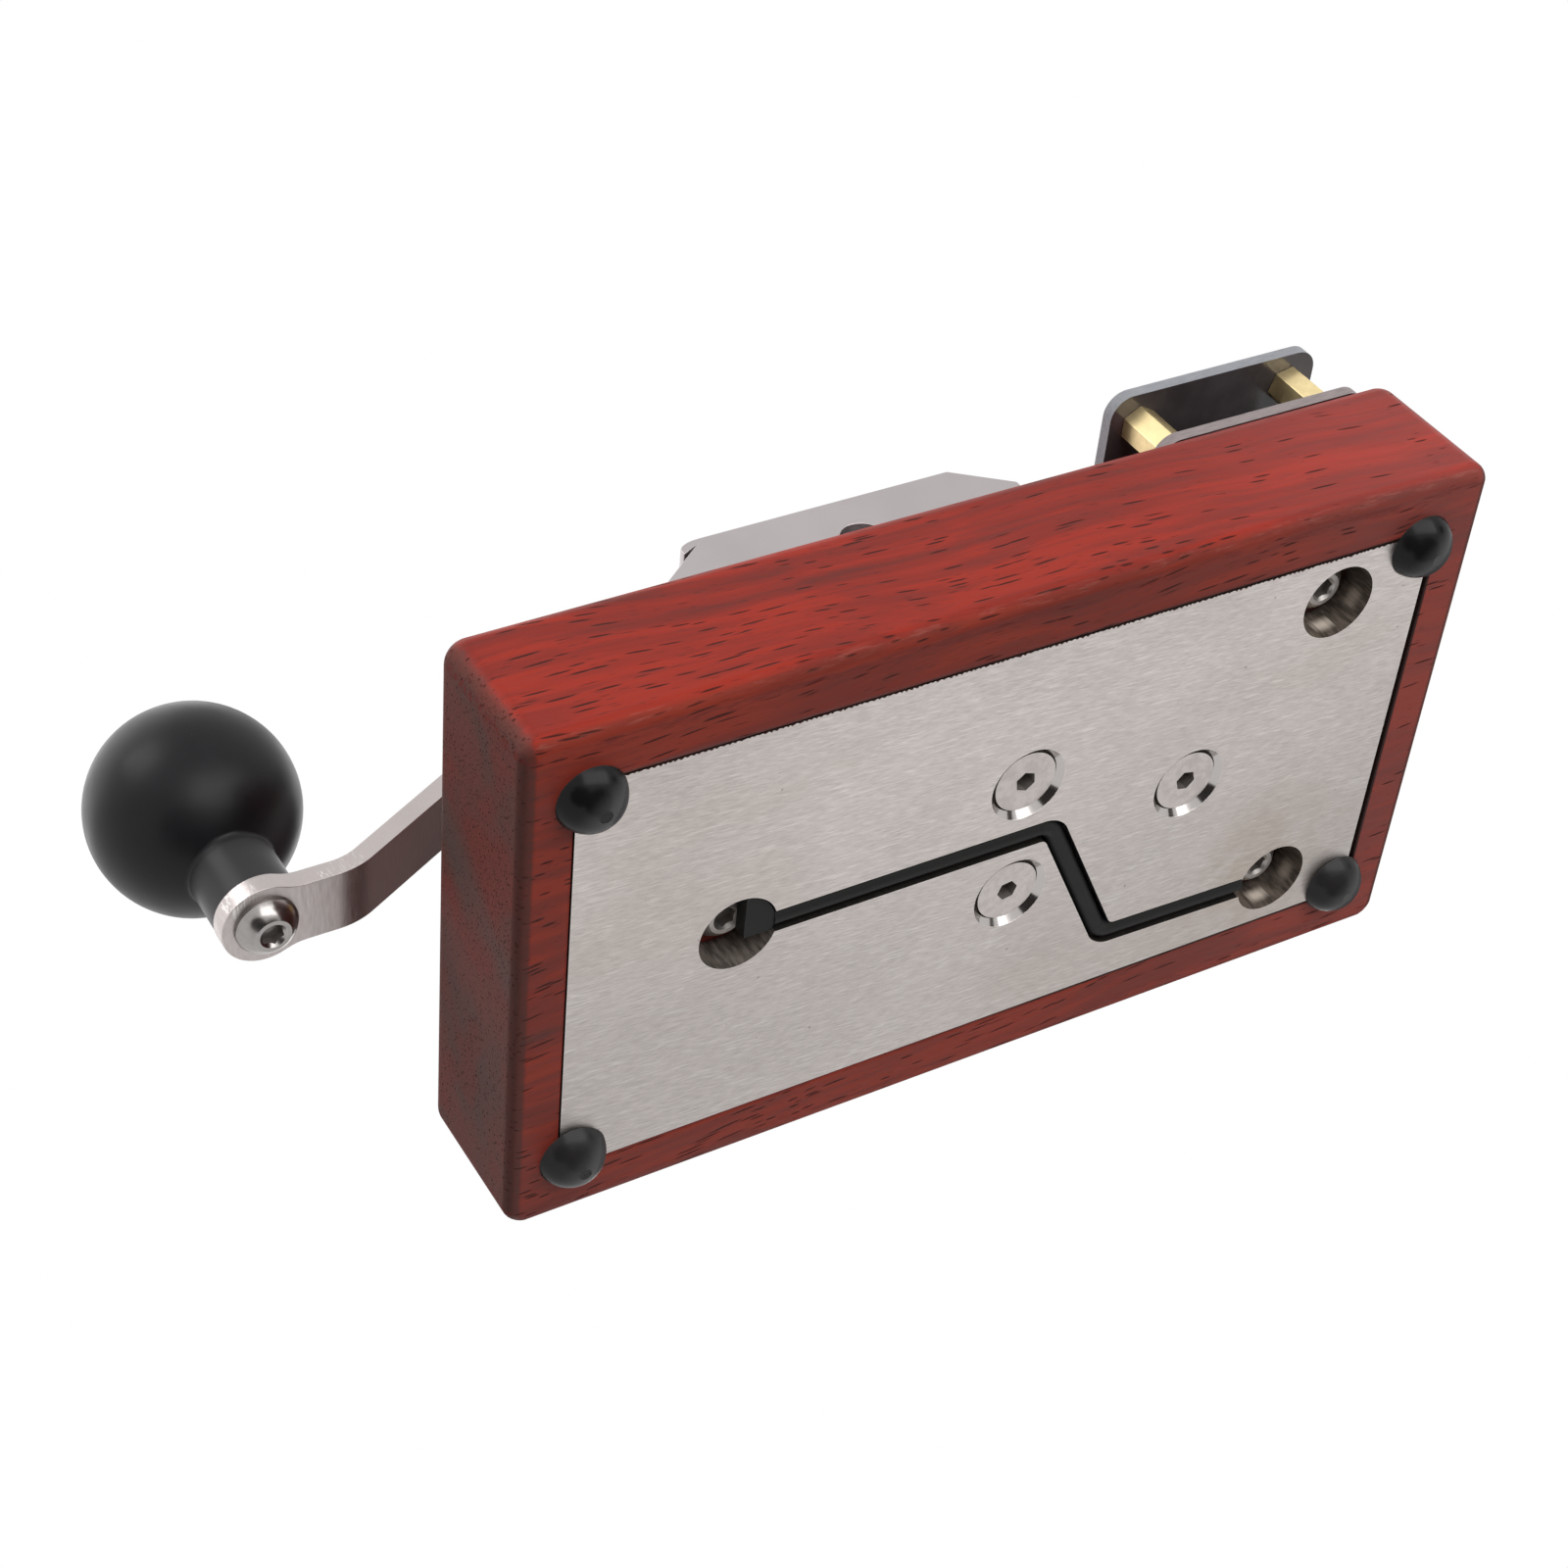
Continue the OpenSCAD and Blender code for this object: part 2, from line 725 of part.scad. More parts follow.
module axle_shims() {
    placed() color(silver_c)
        for (sx = [-1, 1])
            translate([sx * (lever_w / 2 + turned_fit + shim_t / 2), pivot_y, pivot_z])
                rotate([0, 90, 0])
                    difference() {
                        cylinder(h = shim_t, r = race_r - race_land, center = true);
                        cylinder(h = shim_t + 1, d = axle_d + 2 * turned_fit, center = true);
                    }
}

module pivot_block() {
    placed() color(steel_c)
        difference() {
            translate([-lever_w / 2, pivot_y - block_l / 2, bar_top_z])
                cube([lever_w, block_l, block_h]);
            along_pivot(-lever_w, lever_w, axle_d + 2 * turned_fit);
            upright(0, pivot_y, pivot_z, bar_top_z + block_h + eps, m3_d + 2 * thread_fit);
            for (sy = [-1, 1])
                upright(0, pivot_y + sy * block_screw_y, bar_top_z - eps, bar_top_z + 5,
                    m3_d + 2 * thread_fit);
        }
}

module block_screws() {
    placed() color(steel_c)
        for (sy = [-1, 1])
            translate([0, pivot_y + sy * block_screw_y, bar_z + block_sink_depth - seat_gap])
                sunk_screw(m3_d, block_cone_d, block_rim_d, m3_hex, 0, lever_t + 4.2);
}

module axle_set_screw() {
    high = bar_top_z + block_h;
    placed() color(steel_c)
        difference() {
            upright(0, pivot_y, pivot_z + axle_d / 2 + 0.01, high, m3_d);
            translate([0, pivot_y, high - 0.9])
                hex_prism(m3_d / 2, 1);
        }
}

// Side profile of the lever: level pad, slope and level bar with round bends
function lever_profile() = concat(
    [[knob_y - pad_d, pad_z]],
    [for (a = [-90 : bend_step : -90 + lever_slope])
        [front_arc_y + outer_bend_r * cos(a), front_arc_z + outer_bend_r * sin(a)]],
    [for (a = [90 + lever_slope : -bend_step : 90])
        [rear_arc_y + lever_bend_r * cos(a), rear_arc_z + lever_bend_r * sin(a)]],
    [[lever_end_y, bar_z], [lever_end_y, bar_top_z]],
    [for (a = [90 : bend_step : 90 + lever_slope])
        [rear_arc_y + outer_bend_r * cos(a), rear_arc_z + outer_bend_r * sin(a)]],
    [for (a = [-90 + lever_slope : -bend_step : -90])
        [front_arc_y + lever_bend_r * cos(a), front_arc_z + lever_bend_r * sin(a)]],
    [[knob_y - pad_d, pad_z + lever_t]]);

// Plan of the lever: round pad, filleted into the straight bar
module lever_plan() {
    fillet_x = lever_w / 2 + pad_fillet_r;
    fillet_y = sqrt(pow(pad_d / 2 + pad_fillet_r, 2) - pow(fillet_x, 2));
    translate([0, knob_y])
        circle(d = pad_d);
    translate([-lever_w / 2, knob_y])
        square([lever_w, lever_end_y - knob_y]);
    translate([0, knob_y])
        difference() {
            polygon([[-fillet_x, fillet_y], [0, 0], [fillet_x, fillet_y]]);
            for (sx = [-1, 1])
                translate([sx * fillet_x, fillet_y])
                    circle(pad_fillet_r);
        }
}

module lever_arm() {
    placed() color(steel_c)
        difference() {
            intersection() {
                rotate([90, 0, 90])
                    linear_extrude(2 * pad_d, center = true)
                        polygon(lever_profile());
                translate([0, 0, pad_z - 1])
                    linear_extrude(lever_rise + lever_t + 2)
                        lever_plan();
            }
            upright(0, knob_y, pad_z - 1, pad_z + lever_t + 1, m4_d + 2 * hole_fit);
            upright(0, contact_y, bar_z - 1, bar_top_z + 1, rivet_d + 2 * turned_fit);
            upright(0, tension_y, bar_z - 1, bar_top_z + 1, pin_d() + 2 * turned_fit);
            for (sy = [-1, 1])
                translate([0, pivot_y + sy * block_screw_y, bar_z]) {
                    sink(block_cone_d + 2 * block_sink_depth, m3_d + 2 * hole_fit);
                    upright(0, 0, -1, lever_t + 1, m3_d + 2 * hole_fit);
                }
        }
}

function pin_d() = spring_d - spring_wire_d - 0.9;

// Rivet: disc below the lever, shank through it and a peened head on top
module lever_contact() {
    placed() color(silver_c) {
        upright(0, contact_y, lever_tip_z, bar_z, contact_d);
        upright(0, contact_y, bar_z - eps, bar_top_z + eps, rivet_d);
        upright(0, contact_y, bar_top_z, bar_top_z + 0.7, rivet_d + 1.4);
    }
}

// Pin riveted into the lever's tail, which keeps the spring in its place
module spring_pin() {
    placed() color(steel_c)
        upright(0, tension_y, bar_z, bar_top_z + 2.2, pin_d());
}

spring_z = [bar_top_z + spring_wire_d / 2 + 0.02, cup_z - spring_wire_d / 2 - 0.02];
spring_rings = 8;
spring_sides = 6;
spring_pitch = (spring_z[1] - spring_z[0]) / spring_turns;
spring_steps = spring_turns * spring_rings;

function spring_point(i) = [spring_d / 2 * cos(i * 360 / spring_rings),
    spring_d / 2 * sin(i * 360 / spring_rings), spring_z[0] + i * spring_pitch / spring_rings];

function spring_ring(i) = let(
        out = [cos(i * 360 / spring_rings), sin(i * 360 / spring_rings), 0],
        climb = atan2(spring_pitch, PI * spring_d),
        up = [sin(i * 360 / spring_rings) * sin(climb), -cos(i * 360 / spring_rings) * sin(climb),
            cos(climb)])
    [for (k = [0 : spring_sides - 1])
        spring_point(i) + spring_wire_d / 2
            * (cos(k * 360 / spring_sides) * out + sin(k * 360 / spring_sides) * up)];

spring_gap = min([for (i = [0 : spring_steps - spring_rings])
    norm(spring_point(i + spring_rings) - spring_point(i))]) - spring_wire_d;
echo(spring_gap = spring_gap);

// One unbroken coil from the lever to the bottom of the tension screw's cup
module return_spring() {
    s = spring_sides;
    placed() color(silver_c)
        translate([0, tension_y, 0])
            polyhedron(
                points = [for (i = [0 : spring_steps]) each spring_ring(i)],
                faces = concat(
                    [for (k = [1 : s - 2]) [0, k, k + 1]],
                    [for (i = [0 : spring_steps - 1], k = [0 : s - 1])
                        [i * s + k, (i + 1) * s + k, i * s + (k + 1) % s]],
                    [for (i = [0 : spring_steps - 1], k = [0 : s - 1])
                        [i * s + (k + 1) % s, (i + 1) * s + k, (i + 1) * s + (k + 1) % s]],
                    [for (k = [1 : s - 2])
                        [spring_steps * s, spring_steps * s + k + 1, spring_steps * s + k]]));
}

// Ball and neck in one piece, with a blind hole for the insert
module knob() {
    fillet_r = neck_d / 2 + neck_fillet_r;
    fillet_z = sqrt(pow(knob_d / 2 + neck_fillet_r, 2) - pow(fillet_r, 2));
    placed() color(black_c)
        translate([0, knob_y, 0])
            difference() {
                union() {
                    translate([0, 0, knob_z])
                        sphere(d = knob_d, $fn = 128);
                    translate([0, 0, neck_z])
                        cylinder(h = knob_z - neck_z, d = neck_d);
                    translate([0, 0, knob_z])
                        rotate_extrude()
                            difference() {
                                polygon([[0, 0], [0, -fillet_z], [fillet_r, -fillet_z]]);
                                translate([fillet_r, -fillet_z])
                                    circle(neck_fillet_r);
                            }
                }
                translate([0, 0, neck_z - eps])
                    cylinder(h = insert_l + 3, d = insert_d + 2 * turned_fit);
            }
}

module knob_insert() {
    placed() color(brass_c)
        difference() {
            upright(0, knob_y, neck_z, neck_z + insert_l, insert_d);
            upright(0, knob_y, neck_z - 1, neck_z + insert_l + 1, m4_d + 2 * thread_fit);
        }
}

module knob_screw() {
    placed() color(steel_c)
        translate([0, knob_y, pad_z])
            button_screw(m4_d, m4_hex, knob_screw_turn, lever_t + insert_l - 1);
}

module contact_post() {
    placed() color(brass_c)
        difference() {
            union() {
                upright(0, contact_y, base_h, post_top_z, post_d);
                upright(0, contact_y, base_h, base_h + post_flange_t, post_d + 2 * post_flange_w);
            }
            upright(0, contact_y, base_h - eps, base_h + post_thread + 1, m4_d + 2 * thread_fit);
            upright(0, contact_y, post_top_z - 2.1, post_top_z + eps, rivet_d + 2 * turned_fit);
        }
}

module post_contact() {
    placed() color(silver_c) {
        upright(0, contact_y, post_top_z, post_contact_z, contact_d);
        upright(0, contact_y, post_top_z - 2, post_top_z + eps, rivet_d);
    }
}

module post_screw() {
    placed() color(steel_c)
        translate([0, contact_y, plate_t])
            button_screw(m4_d, m4_hex, 10, base_h - plate_t + post_thread);
}

// Places its children at both wired screws, with +y towards the wire
module at_lugs() {
    translate([0, contact_y, 0])
        children();
    translate([-terminal_x, terminal_y, 0])
        rotate([0, 0, 180])
            children();
}

// Ring under the screw head, let into the wood, with its tongue bent down to the wire
module ring_terminals() {
    tongue_low = [sleeve_top_z, channel_d * 0.3];
    placed() color(silver_c) {
        at_lugs()
            difference() {
                union() {
                    upright(0, 0, plate_t, plate_t + lug_t, lug_d);
                    translate([-lug_w / 2, 0, plate_t])
                        cube([lug_w, tongue_y + lug_t, lug_t]);
                }
                upright(0, 0, plate_t - 1, plate_t + 1, m4_d + 2 * hole_fit);
            }
        translate([-lug_w / 2, contact_y + tongue_y, tongue_low[0]])
            cube([lug_w, lug_t, plate_t + lug_t - tongue_low[0]]);
        translate([-terminal_x - lug_w / 2, terminal_y - tongue_y - lug_t, tongue_low[1]])
            cube([lug_w, lug_t, plate_t + lug_t - tongue_low[1]]);
    }
}

// Moulded sleeve over the wire's front end, which fills that side of the access hole
module wire_sleeve() {
    placed() color(black_c)
        translate([0, contact_y, sleeve_low_z])
            intersection() {
                cylinder(h = sleeve_top_z - sleeve_low_z, r = sleeve_r);
                translate([-channel_w / 2 + 0.15, 1, -1])
                    cube([access_d, access_d, plate_t]);
            }
}

// Insulated wire, lying in the channel all the way, and a touch fuller in its bends
module keying_wire() {
    placed() color(black_c) {
        on_legs(0.02, sleeve_r + 0.02, tongue_y + lug_t + 0.02)
            translate([0, wire_z])
                circle(d = wire_d);
        on_bends()
            translate([0, wire_z])
                circle(d = wire_d + 0.04);
    }
}

// Brass strap let into the top of the base, from the rear housing screw to a terminal screw
module frame_strap() {
    placed() color(brass_c)
        translate([0, 0, base_h - strap_t])
            linear_extrude(strap_t)
                difference() {
                    strap_outline(0);
                    translate([0, rear_screw_y])
                        circle(d = m4_d + 2 * hole_fit);
                    translate([terminal_x, terminal_y])
                        circle(d = m4_d + 2 * hole_fit);
                }
}

// Knurled head of an adjusting screw, dished on top
module screw_head(y) {
    translate([0, y, head_z])
        difference() {
            knurled(head_d, head_h, knurl_depth);
            translate([0, 0, head_h - 0.4])
                cylinder(h = 1, d = head_d * 0.6);
        }
}

module lock_ring(y, d) {
    translate([0, y, ring_z])
        difference() {
            knurled(head_d, ring_t, knurl_depth);
            translate([0, 0, -1])
                cylinder(h = ring_t + 2, d = d + 2 * thread_fit);
        }
}

module travel_screw() {
    tip = bar_top_z + rest_gap;
    placed() color(steel_c) {
        screw_head(travel_y);
        upright(0, travel_y, tip + 1.5, head_z + eps, travel_d);
        upright(0, travel_y, tip, tip + 1.5 + eps, travel_d * 0.64);
    }
}

module travel_lock_ring() {
    placed() color(steel_c)
        lock_ring(travel_y, travel_d);
}

// Hollow screw: its cup holds the upper part of the return spring
module tension_screw() {
    placed() color(steel_c)
        difference() {
            union() {
                screw_head(tension_y);
                upright(0, tension_y, tension_tip_z, head_z + eps, tension_d);
            }
            upright(0, tension_y, tension_tip_z - 1, cup_z, cup_d);
        }
}

module tension_lock_ring() {
    placed() color(steel_c)
        lock_ring(tension_y, tension_d);
}

// Outline of a board, less its four corner holes
module board_outline() {
    difference() {
        translate([0, board_y + board_l / 2])
            round_rect(board_w, board_l, board_corner_r);
        for (sx = [-1, 1], y = standoff_ys)
            translate([sx * standoff_x, y])
                circle(d = m3_d + 2 * hole_fit);
    }
}

module lower_board() {
    placed() color(board_c)
        translate([0, 0, base_h])
            linear_extrude(board_t)
                difference() {
                    board_outline();
                    for (sx = [-1, 1])
                        translate([sx * terminal_x, terminal_y])
                            circle(d = m4_d + 2 * hole_fit);
                }
}

module upper_board() {
    placed() color(board_c)
        translate([0, 0, upper_z])
            linear_extrude(board_t)
                board_outline();
}

// Places its children at the four standoffs
module at_standoffs() {
    for (sx = [-1, 1], i = [0, 1])
        translate([sx * standoff_x, standoff_ys[i], 0])
            rotate([0, 0, sx * standoff_turns[i]])
                children();
}

module board_standoffs() {
    placed() color(brass_c)
        at_standoffs()
            translate([0, 0, board_top])
                difference() {
                    rotate([0, 0, 30])
                        hex_prism(standoff_af, standoff_l);
                    translate([0, 0, -1])
                        cylinder(h = standoff_l + 2, d = m3_d + 2 * thread_fit);
                }
}

module lower_board_screws() {
    placed() color(steel_c)
        at_standoffs()
            translate([0, 0, base_h])
                button_screw(m3_d, m3_hex, 0, board_t + standoff_l * 0.4);
}

module upper_board_screws() {
    placed() color(steel_c)
        at_standoffs()
            translate([0, 0, upper_z + board_t])
                mirror([0, 0, 1])
                    button_screw(m3_d, m3_hex, 0, board_t + standoff_l * 0.4);
}

module terminal_screws() {
    placed() color(steel_c)
        for (p = terminals_at)
            translate([p[0], p[1], plate_t])
                button_screw(m4_d, m4_hex, 20, base_h - plate_t + board_t + washer_t + nut_h);
}

module terminal_washers() {
    placed() color(steel_c)
        for (sx = [-1, 1])
            difference() {
                upright(sx * terminal_x, terminal_y, board_top, board_top + washer_t, nut_af + 2);
                upright(sx * terminal_x, terminal_y, board_top - 1, board_top + 2, m4_d + 2 * hole_fit);
            }
}

module terminal_nuts() {
    placed() color(steel_c)
        for (sx = [-1, 1])
            translate([sx * terminal_x, terminal_y, board_top + washer_t])
                difference() {
                    hex_prism(nut_af, nut_h);
                    translate([0, 0, -1])
                        cylinder(h = nut_h + 2, d = m4_d + 2 * thread_fit);
                }
}

// Rod along y at the jack's height
module along_jack(y_low, y_high, d) {
    translate([0, y_low, jack_z])
        rotate([-90, 0, 0])
            cylinder(h = y_high - y_low, d = d);
}

module jack_body() {
    bushing_in = bushing_l - bushing_out;
    placed() color(black_c)
        difference() {
            translate([-jack_w / 2, jack_front_y, board_top])
                cube([jack_w, jack_l, jack_h]);
            along_jack(jack_front_y + 1, jack_rear_y + 1, cavity_d);
            along_jack(jack_rear_y - bushing_in, jack_rear_y + 1, bushing_d + 2 * turned_fit);
        }
}

module jack_bushing() {
    low = jack_rear_y - bushing_l + bushing_out;
    placed() color(silver_c)
        difference() {
            along_jack(low, jack_rear_y + bushing_out, bushing_d);
            along_jack(low - 1, jack_rear_y + bushing_out + 1, jack_bore_d);
        }
}

// Two leaf contacts on the walls of the jack's cavity
module jack_springs() {
    leaf_l = jack_l - bushing_l + bushing_out - 3;
    leaf_t = 0.25;
    placed() color(brass_c)
        for (sx = [-1, 1])
            translate([sx * (cavity_d / 2 - 0.45) - leaf_t / 2, jack_front_y + 1.1, jack_z - 0.6])
                cube([leaf_t, leaf_l, 1.2]);
}

wood_base();
base_plate();
rubber_feet();
bearing_housing();
housing_screws();
bearing_outer_rings();
bearing_inner_rings();
bearing_balls();
pivot_axle();
axle_shims();
pivot_block();
block_screws();
axle_set_screw();
lever_arm();
lever_contact();
spring_pin();
return_spring();
knob();
knob_insert();
knob_screw();
contact_post();
post_contact();
post_screw();
ring_terminals();
wire_sleeve();
keying_wire();
frame_strap();
travel_screw();
travel_lock_ring();
tension_screw();
tension_lock_ring();
lower_board();
upper_board();
board_standoffs();
lower_board_screws();
upper_board_screws();
terminal_screws();
terminal_washers();
terminal_nuts();
jack_body();
jack_bushing();
jack_springs();
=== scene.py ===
"""Straight telegraph key, seen from below: its finishes, its coil spring, and the studio round it."""

import json
import logging
import math
from dataclasses import dataclass
from enum import Enum
from typing import Protocol, Sequence, Union

import bpy
from mathutils import Matrix, Vector

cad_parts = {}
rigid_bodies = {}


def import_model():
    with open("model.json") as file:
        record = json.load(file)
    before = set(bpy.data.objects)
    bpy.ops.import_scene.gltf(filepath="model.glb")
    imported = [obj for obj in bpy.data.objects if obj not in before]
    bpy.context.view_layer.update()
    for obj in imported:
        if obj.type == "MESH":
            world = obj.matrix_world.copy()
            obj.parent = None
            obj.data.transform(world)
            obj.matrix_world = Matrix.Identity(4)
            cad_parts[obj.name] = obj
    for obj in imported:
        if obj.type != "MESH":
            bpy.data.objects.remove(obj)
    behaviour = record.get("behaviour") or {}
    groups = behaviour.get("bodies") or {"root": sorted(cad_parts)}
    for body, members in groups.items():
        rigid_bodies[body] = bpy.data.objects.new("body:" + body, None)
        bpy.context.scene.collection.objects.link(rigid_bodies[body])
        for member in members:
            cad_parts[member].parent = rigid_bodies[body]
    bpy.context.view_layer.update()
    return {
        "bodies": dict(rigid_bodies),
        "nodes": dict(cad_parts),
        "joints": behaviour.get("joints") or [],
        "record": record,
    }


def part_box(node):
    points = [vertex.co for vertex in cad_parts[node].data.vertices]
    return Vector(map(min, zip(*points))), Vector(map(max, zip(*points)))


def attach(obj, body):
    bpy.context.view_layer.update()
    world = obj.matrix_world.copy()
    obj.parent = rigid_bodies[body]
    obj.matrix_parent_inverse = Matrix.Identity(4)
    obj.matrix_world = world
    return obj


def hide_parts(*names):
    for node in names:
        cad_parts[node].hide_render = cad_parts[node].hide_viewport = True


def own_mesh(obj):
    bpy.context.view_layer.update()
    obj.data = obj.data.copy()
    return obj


log = logging.getLogger("telegraph_key")

MM = 0.001
WELD_MM = 0.002

Pair = tuple[float, float]
Triple = tuple[float, float, float]
Colour = tuple[float, float, float]
Ramp = tuple[float, float, float, float]
Value = Union[float, Triple, "Wire"]
Inputs = dict[Union[str, int], object]

ZERO: Triple = (0.0, 0.0, 0.0)
ONE: Triple = (1.0, 1.0, 1.0)
# Two ranges that hold most of a noise's values, and the detail and roughness of a layered noise.
MIDDLE: Pair = (0.3, 0.7)
UPPER: Pair = (0.35, 0.7)
LAYERED: Pair = (3.0, 0.6)


class Body(Enum):
    """The bodies that pieces made here ride on."""

    KEY = "key_body"


class Blend(Enum):
    """Ways to lay one colour over another."""

    MIX = "MIX"
    MULTIPLY = "MULTIPLY"


def shaded(colour: Colour, factor: float) -> Colour:
    """Makes a colour lighter or darker."""
    return tuple(c * factor for c in colour)


class Wire:
    """One value in a shader tree, a number or a vector, with the signs of arithmetic."""

    def __init__(self, nodes: "Sockets", socket: bpy.types.NodeSocket) -> None:
        """Keeps the tree's nodes and the socket that gives the value."""
        self.nodes = nodes
        self.socket = socket

    def _work(self, operation: str, a: Value, b: Value) -> "Wire":
        """Computes with two numbers, or with two vectors where this value is one."""
        work = self.nodes.vector if self.socket.type == "VECTOR" else self.nodes.math
        return work(operation, a, b)

    def __add__(self, other: Value) -> "Wire":
        """Adds."""
        return self._work("ADD", self, other)

    def __sub__(self, other: Value) -> "Wire":
        """Subtracts."""
        return self._work("SUBTRACT", self, other)

    def __rsub__(self, other: Value) -> "Wire":
        """Subtracts from a plain value."""
        return self._work("SUBTRACT", other, self)

    def __mul__(self, other: Value) -> "Wire":
        """Multiplies."""
        return self._work("MULTIPLY", self, other)

    def __truediv__(self, other: Value) -> "Wire":
        """Divides."""
        return self._work("DIVIDE", self, other)

    def __abs__(self) -> "Wire":
        """Drops the sign of a number."""
        return self.nodes.math("ABSOLUTE", self)


class Sockets:
    """Short typed calls that add nodes to one shader tree."""

    def __init__(self, tree: bpy.types.NodeTree) -> None:
        """Keeps the tree of a material, a world or a node group."""
        self.tree = tree

    def add(self, kind: str, inputs: Inputs | None = None, **settings: object) -> bpy.types.Node:
        """Adds a node, sets its options and feeds its inputs.

        Args:
            kind: The node's type, without the words that all types start with.
            inputs: Values or wires for its inputs, by name or number.
            **settings: Options of the node itself.

        Returns:
            The new node.
        """
        node = self.tree.nodes.new("ShaderNode" + kind)
        for name, value in settings.items():
            setattr(node, name, value)
        for name, value in (inputs or {}).items():
            self.feed(node.inputs[name], value)
        return node

    def out(self, kind: str, inputs: Inputs | None = None, output: int | str = 0, **settings: object) -> Wire:
        """Adds a node and gives one of its outputs, by name or number."""
        return Wire(self, self.add(kind, inputs, **settings).outputs[output])

    def feed(self, socket: bpy.types.NodeSocket, value: object) -> None:
        """Links a wire to an input, or sets the input's own value.

        Args:
            socket: The input.
            value: A wire, a number, a vector or a colour.
        """
        if isinstance(value, Wire):
            self.tree.links.new(value.socket, socket)
        elif socket.type == "RGBA" and len(value) == 3:
            socket.default_value = (*value, 1.0)
        else:
            socket.default_value = value

    def math(self, operation: str, a: Value, b: Value = 0.0, clamp: bool = False) -> Wire:
        """Computes with two numbers, and keeps the result from 0 to 1 where it is clamped."""
        return self.out("Math", {0: a, 1: b}, operation=operation, use_clamp=clamp)

    def vector(self, operation: str, a: Value, b: Value = ZERO) -> Wire:
        """Computes with two vectors, to a vector, a length or a dot product."""
        output = "Value" if operation in ("LENGTH", "DOT_PRODUCT") else "Vector"
        return self.out("VectorMath", {0: a, 1: b}, output, operation=operation)

    def less(self, a: Value, b: Value) -> Wire:
        """Gives 1 where the first number is less than the second, else 0."""
        return self.math("LESS_THAN", a, b)

    def step(self, value: Value, low: float, high: float, to_low: float = 0.0, to_high: float = 1.0) -> Wire:
        """Takes a value smoothly from the range low to high to another range."""
        inputs = {"Value": value, "From Min": low, "From Max": high, "To Min": to_low, "To Max": to_high}
        return self.out("MapRange", inputs, interpolation_type="SMOOTHSTEP")

    def mix(self, factor: Value, a: Value, b: Value, how: Blend = Blend.MIX) -> Wire:
        """Lays the second colour over the first, as much as the factor says."""
        return self.out("Mix", {0: factor, 6: a, 7: b}, 2, data_type="RGBA", blend_type=how.value)

    def mottle(self, mask: Wire, colour: Colour, factor: float) -> Wire:
        """Makes a colour lighter or darker in patches."""
        return self.mix(self.step(mask, *UPPER), colour, shaded(colour, factor))

    def noise(self, place: Wire, scale: Value = 1.0, detail: float = 2.0, rough: float = 0.5) -> Wire:
        """Samples smooth noise from 0 to 1, with finer layers of a given strength."""
        inputs = {"Vector": place, "Scale": scale, "Detail": detail, "Roughness": rough}
        return self.out("TexNoise", inputs, noise_dimensions="3D")

    def cells(self, place: Wire, scale: Value) -> tuple[Wire, Wire]:
        """Scatters points, and gives the distance to the nearest and a colour drawn for it."""
        node = self.add("TexVoronoi", {"Vector": place, "Scale": scale}, feature="F1")
        return Wire(self, node.outputs["Distance"]), Wire(self, node.outputs["Color"])

    def place_mm(self, stretch: Value = ONE, turn: Value = ZERO) -> Wire:
        """Gives the place on the object in millimetres, turned and then stretched.

        Args:
            stretch: Factors on the three axes.
            turn: Angles about the three axes.

        Returns:
            The place.
        """
        mm = self.out("TexCoord", output="Object") * (1 / MM, 1 / MM, 1 / MM)
        turned = self.out("VectorRotate", {"Vector": mm, "Rotation": turn}, rotation_type="EULER_XYZ")
        return turned * stretch

    def normal(self, which: str = "Normal") -> Wire:
        """Gives the surface's normal, the smooth one or the one named."""
        return self.out("NewGeometry", output=which)

    def axes(self, vector: Wire) -> tuple[Wire, ...]:
        """Splits a vector into its three parts."""
        return tuple(Wire(self, part) for part in self.add("SeparateXYZ", {0: vector}).outputs)

    def shade(self, colour: Value, factor: Wire) -> Wire:
        """Makes a colour lighter or darker by a factor that changes over the surface."""
        grey = self.out("CombineColor", {0: factor, 1: factor, 2: factor})
        return self.mix(1.0, colour, grey, Blend.MULTIPLY)

    def bump(self, height: Value, strength: float, distance_mm: float, base: Wire | None = None) -> Wire:
        """Turns a height from 0 to 1 into a normal, from a base normal where one is given."""
        inputs = {"Height": height, "Strength": strength, "Distance": distance_mm * MM}
        return self.out("Bump", {**inputs, "Normal": base} if base else inputs)


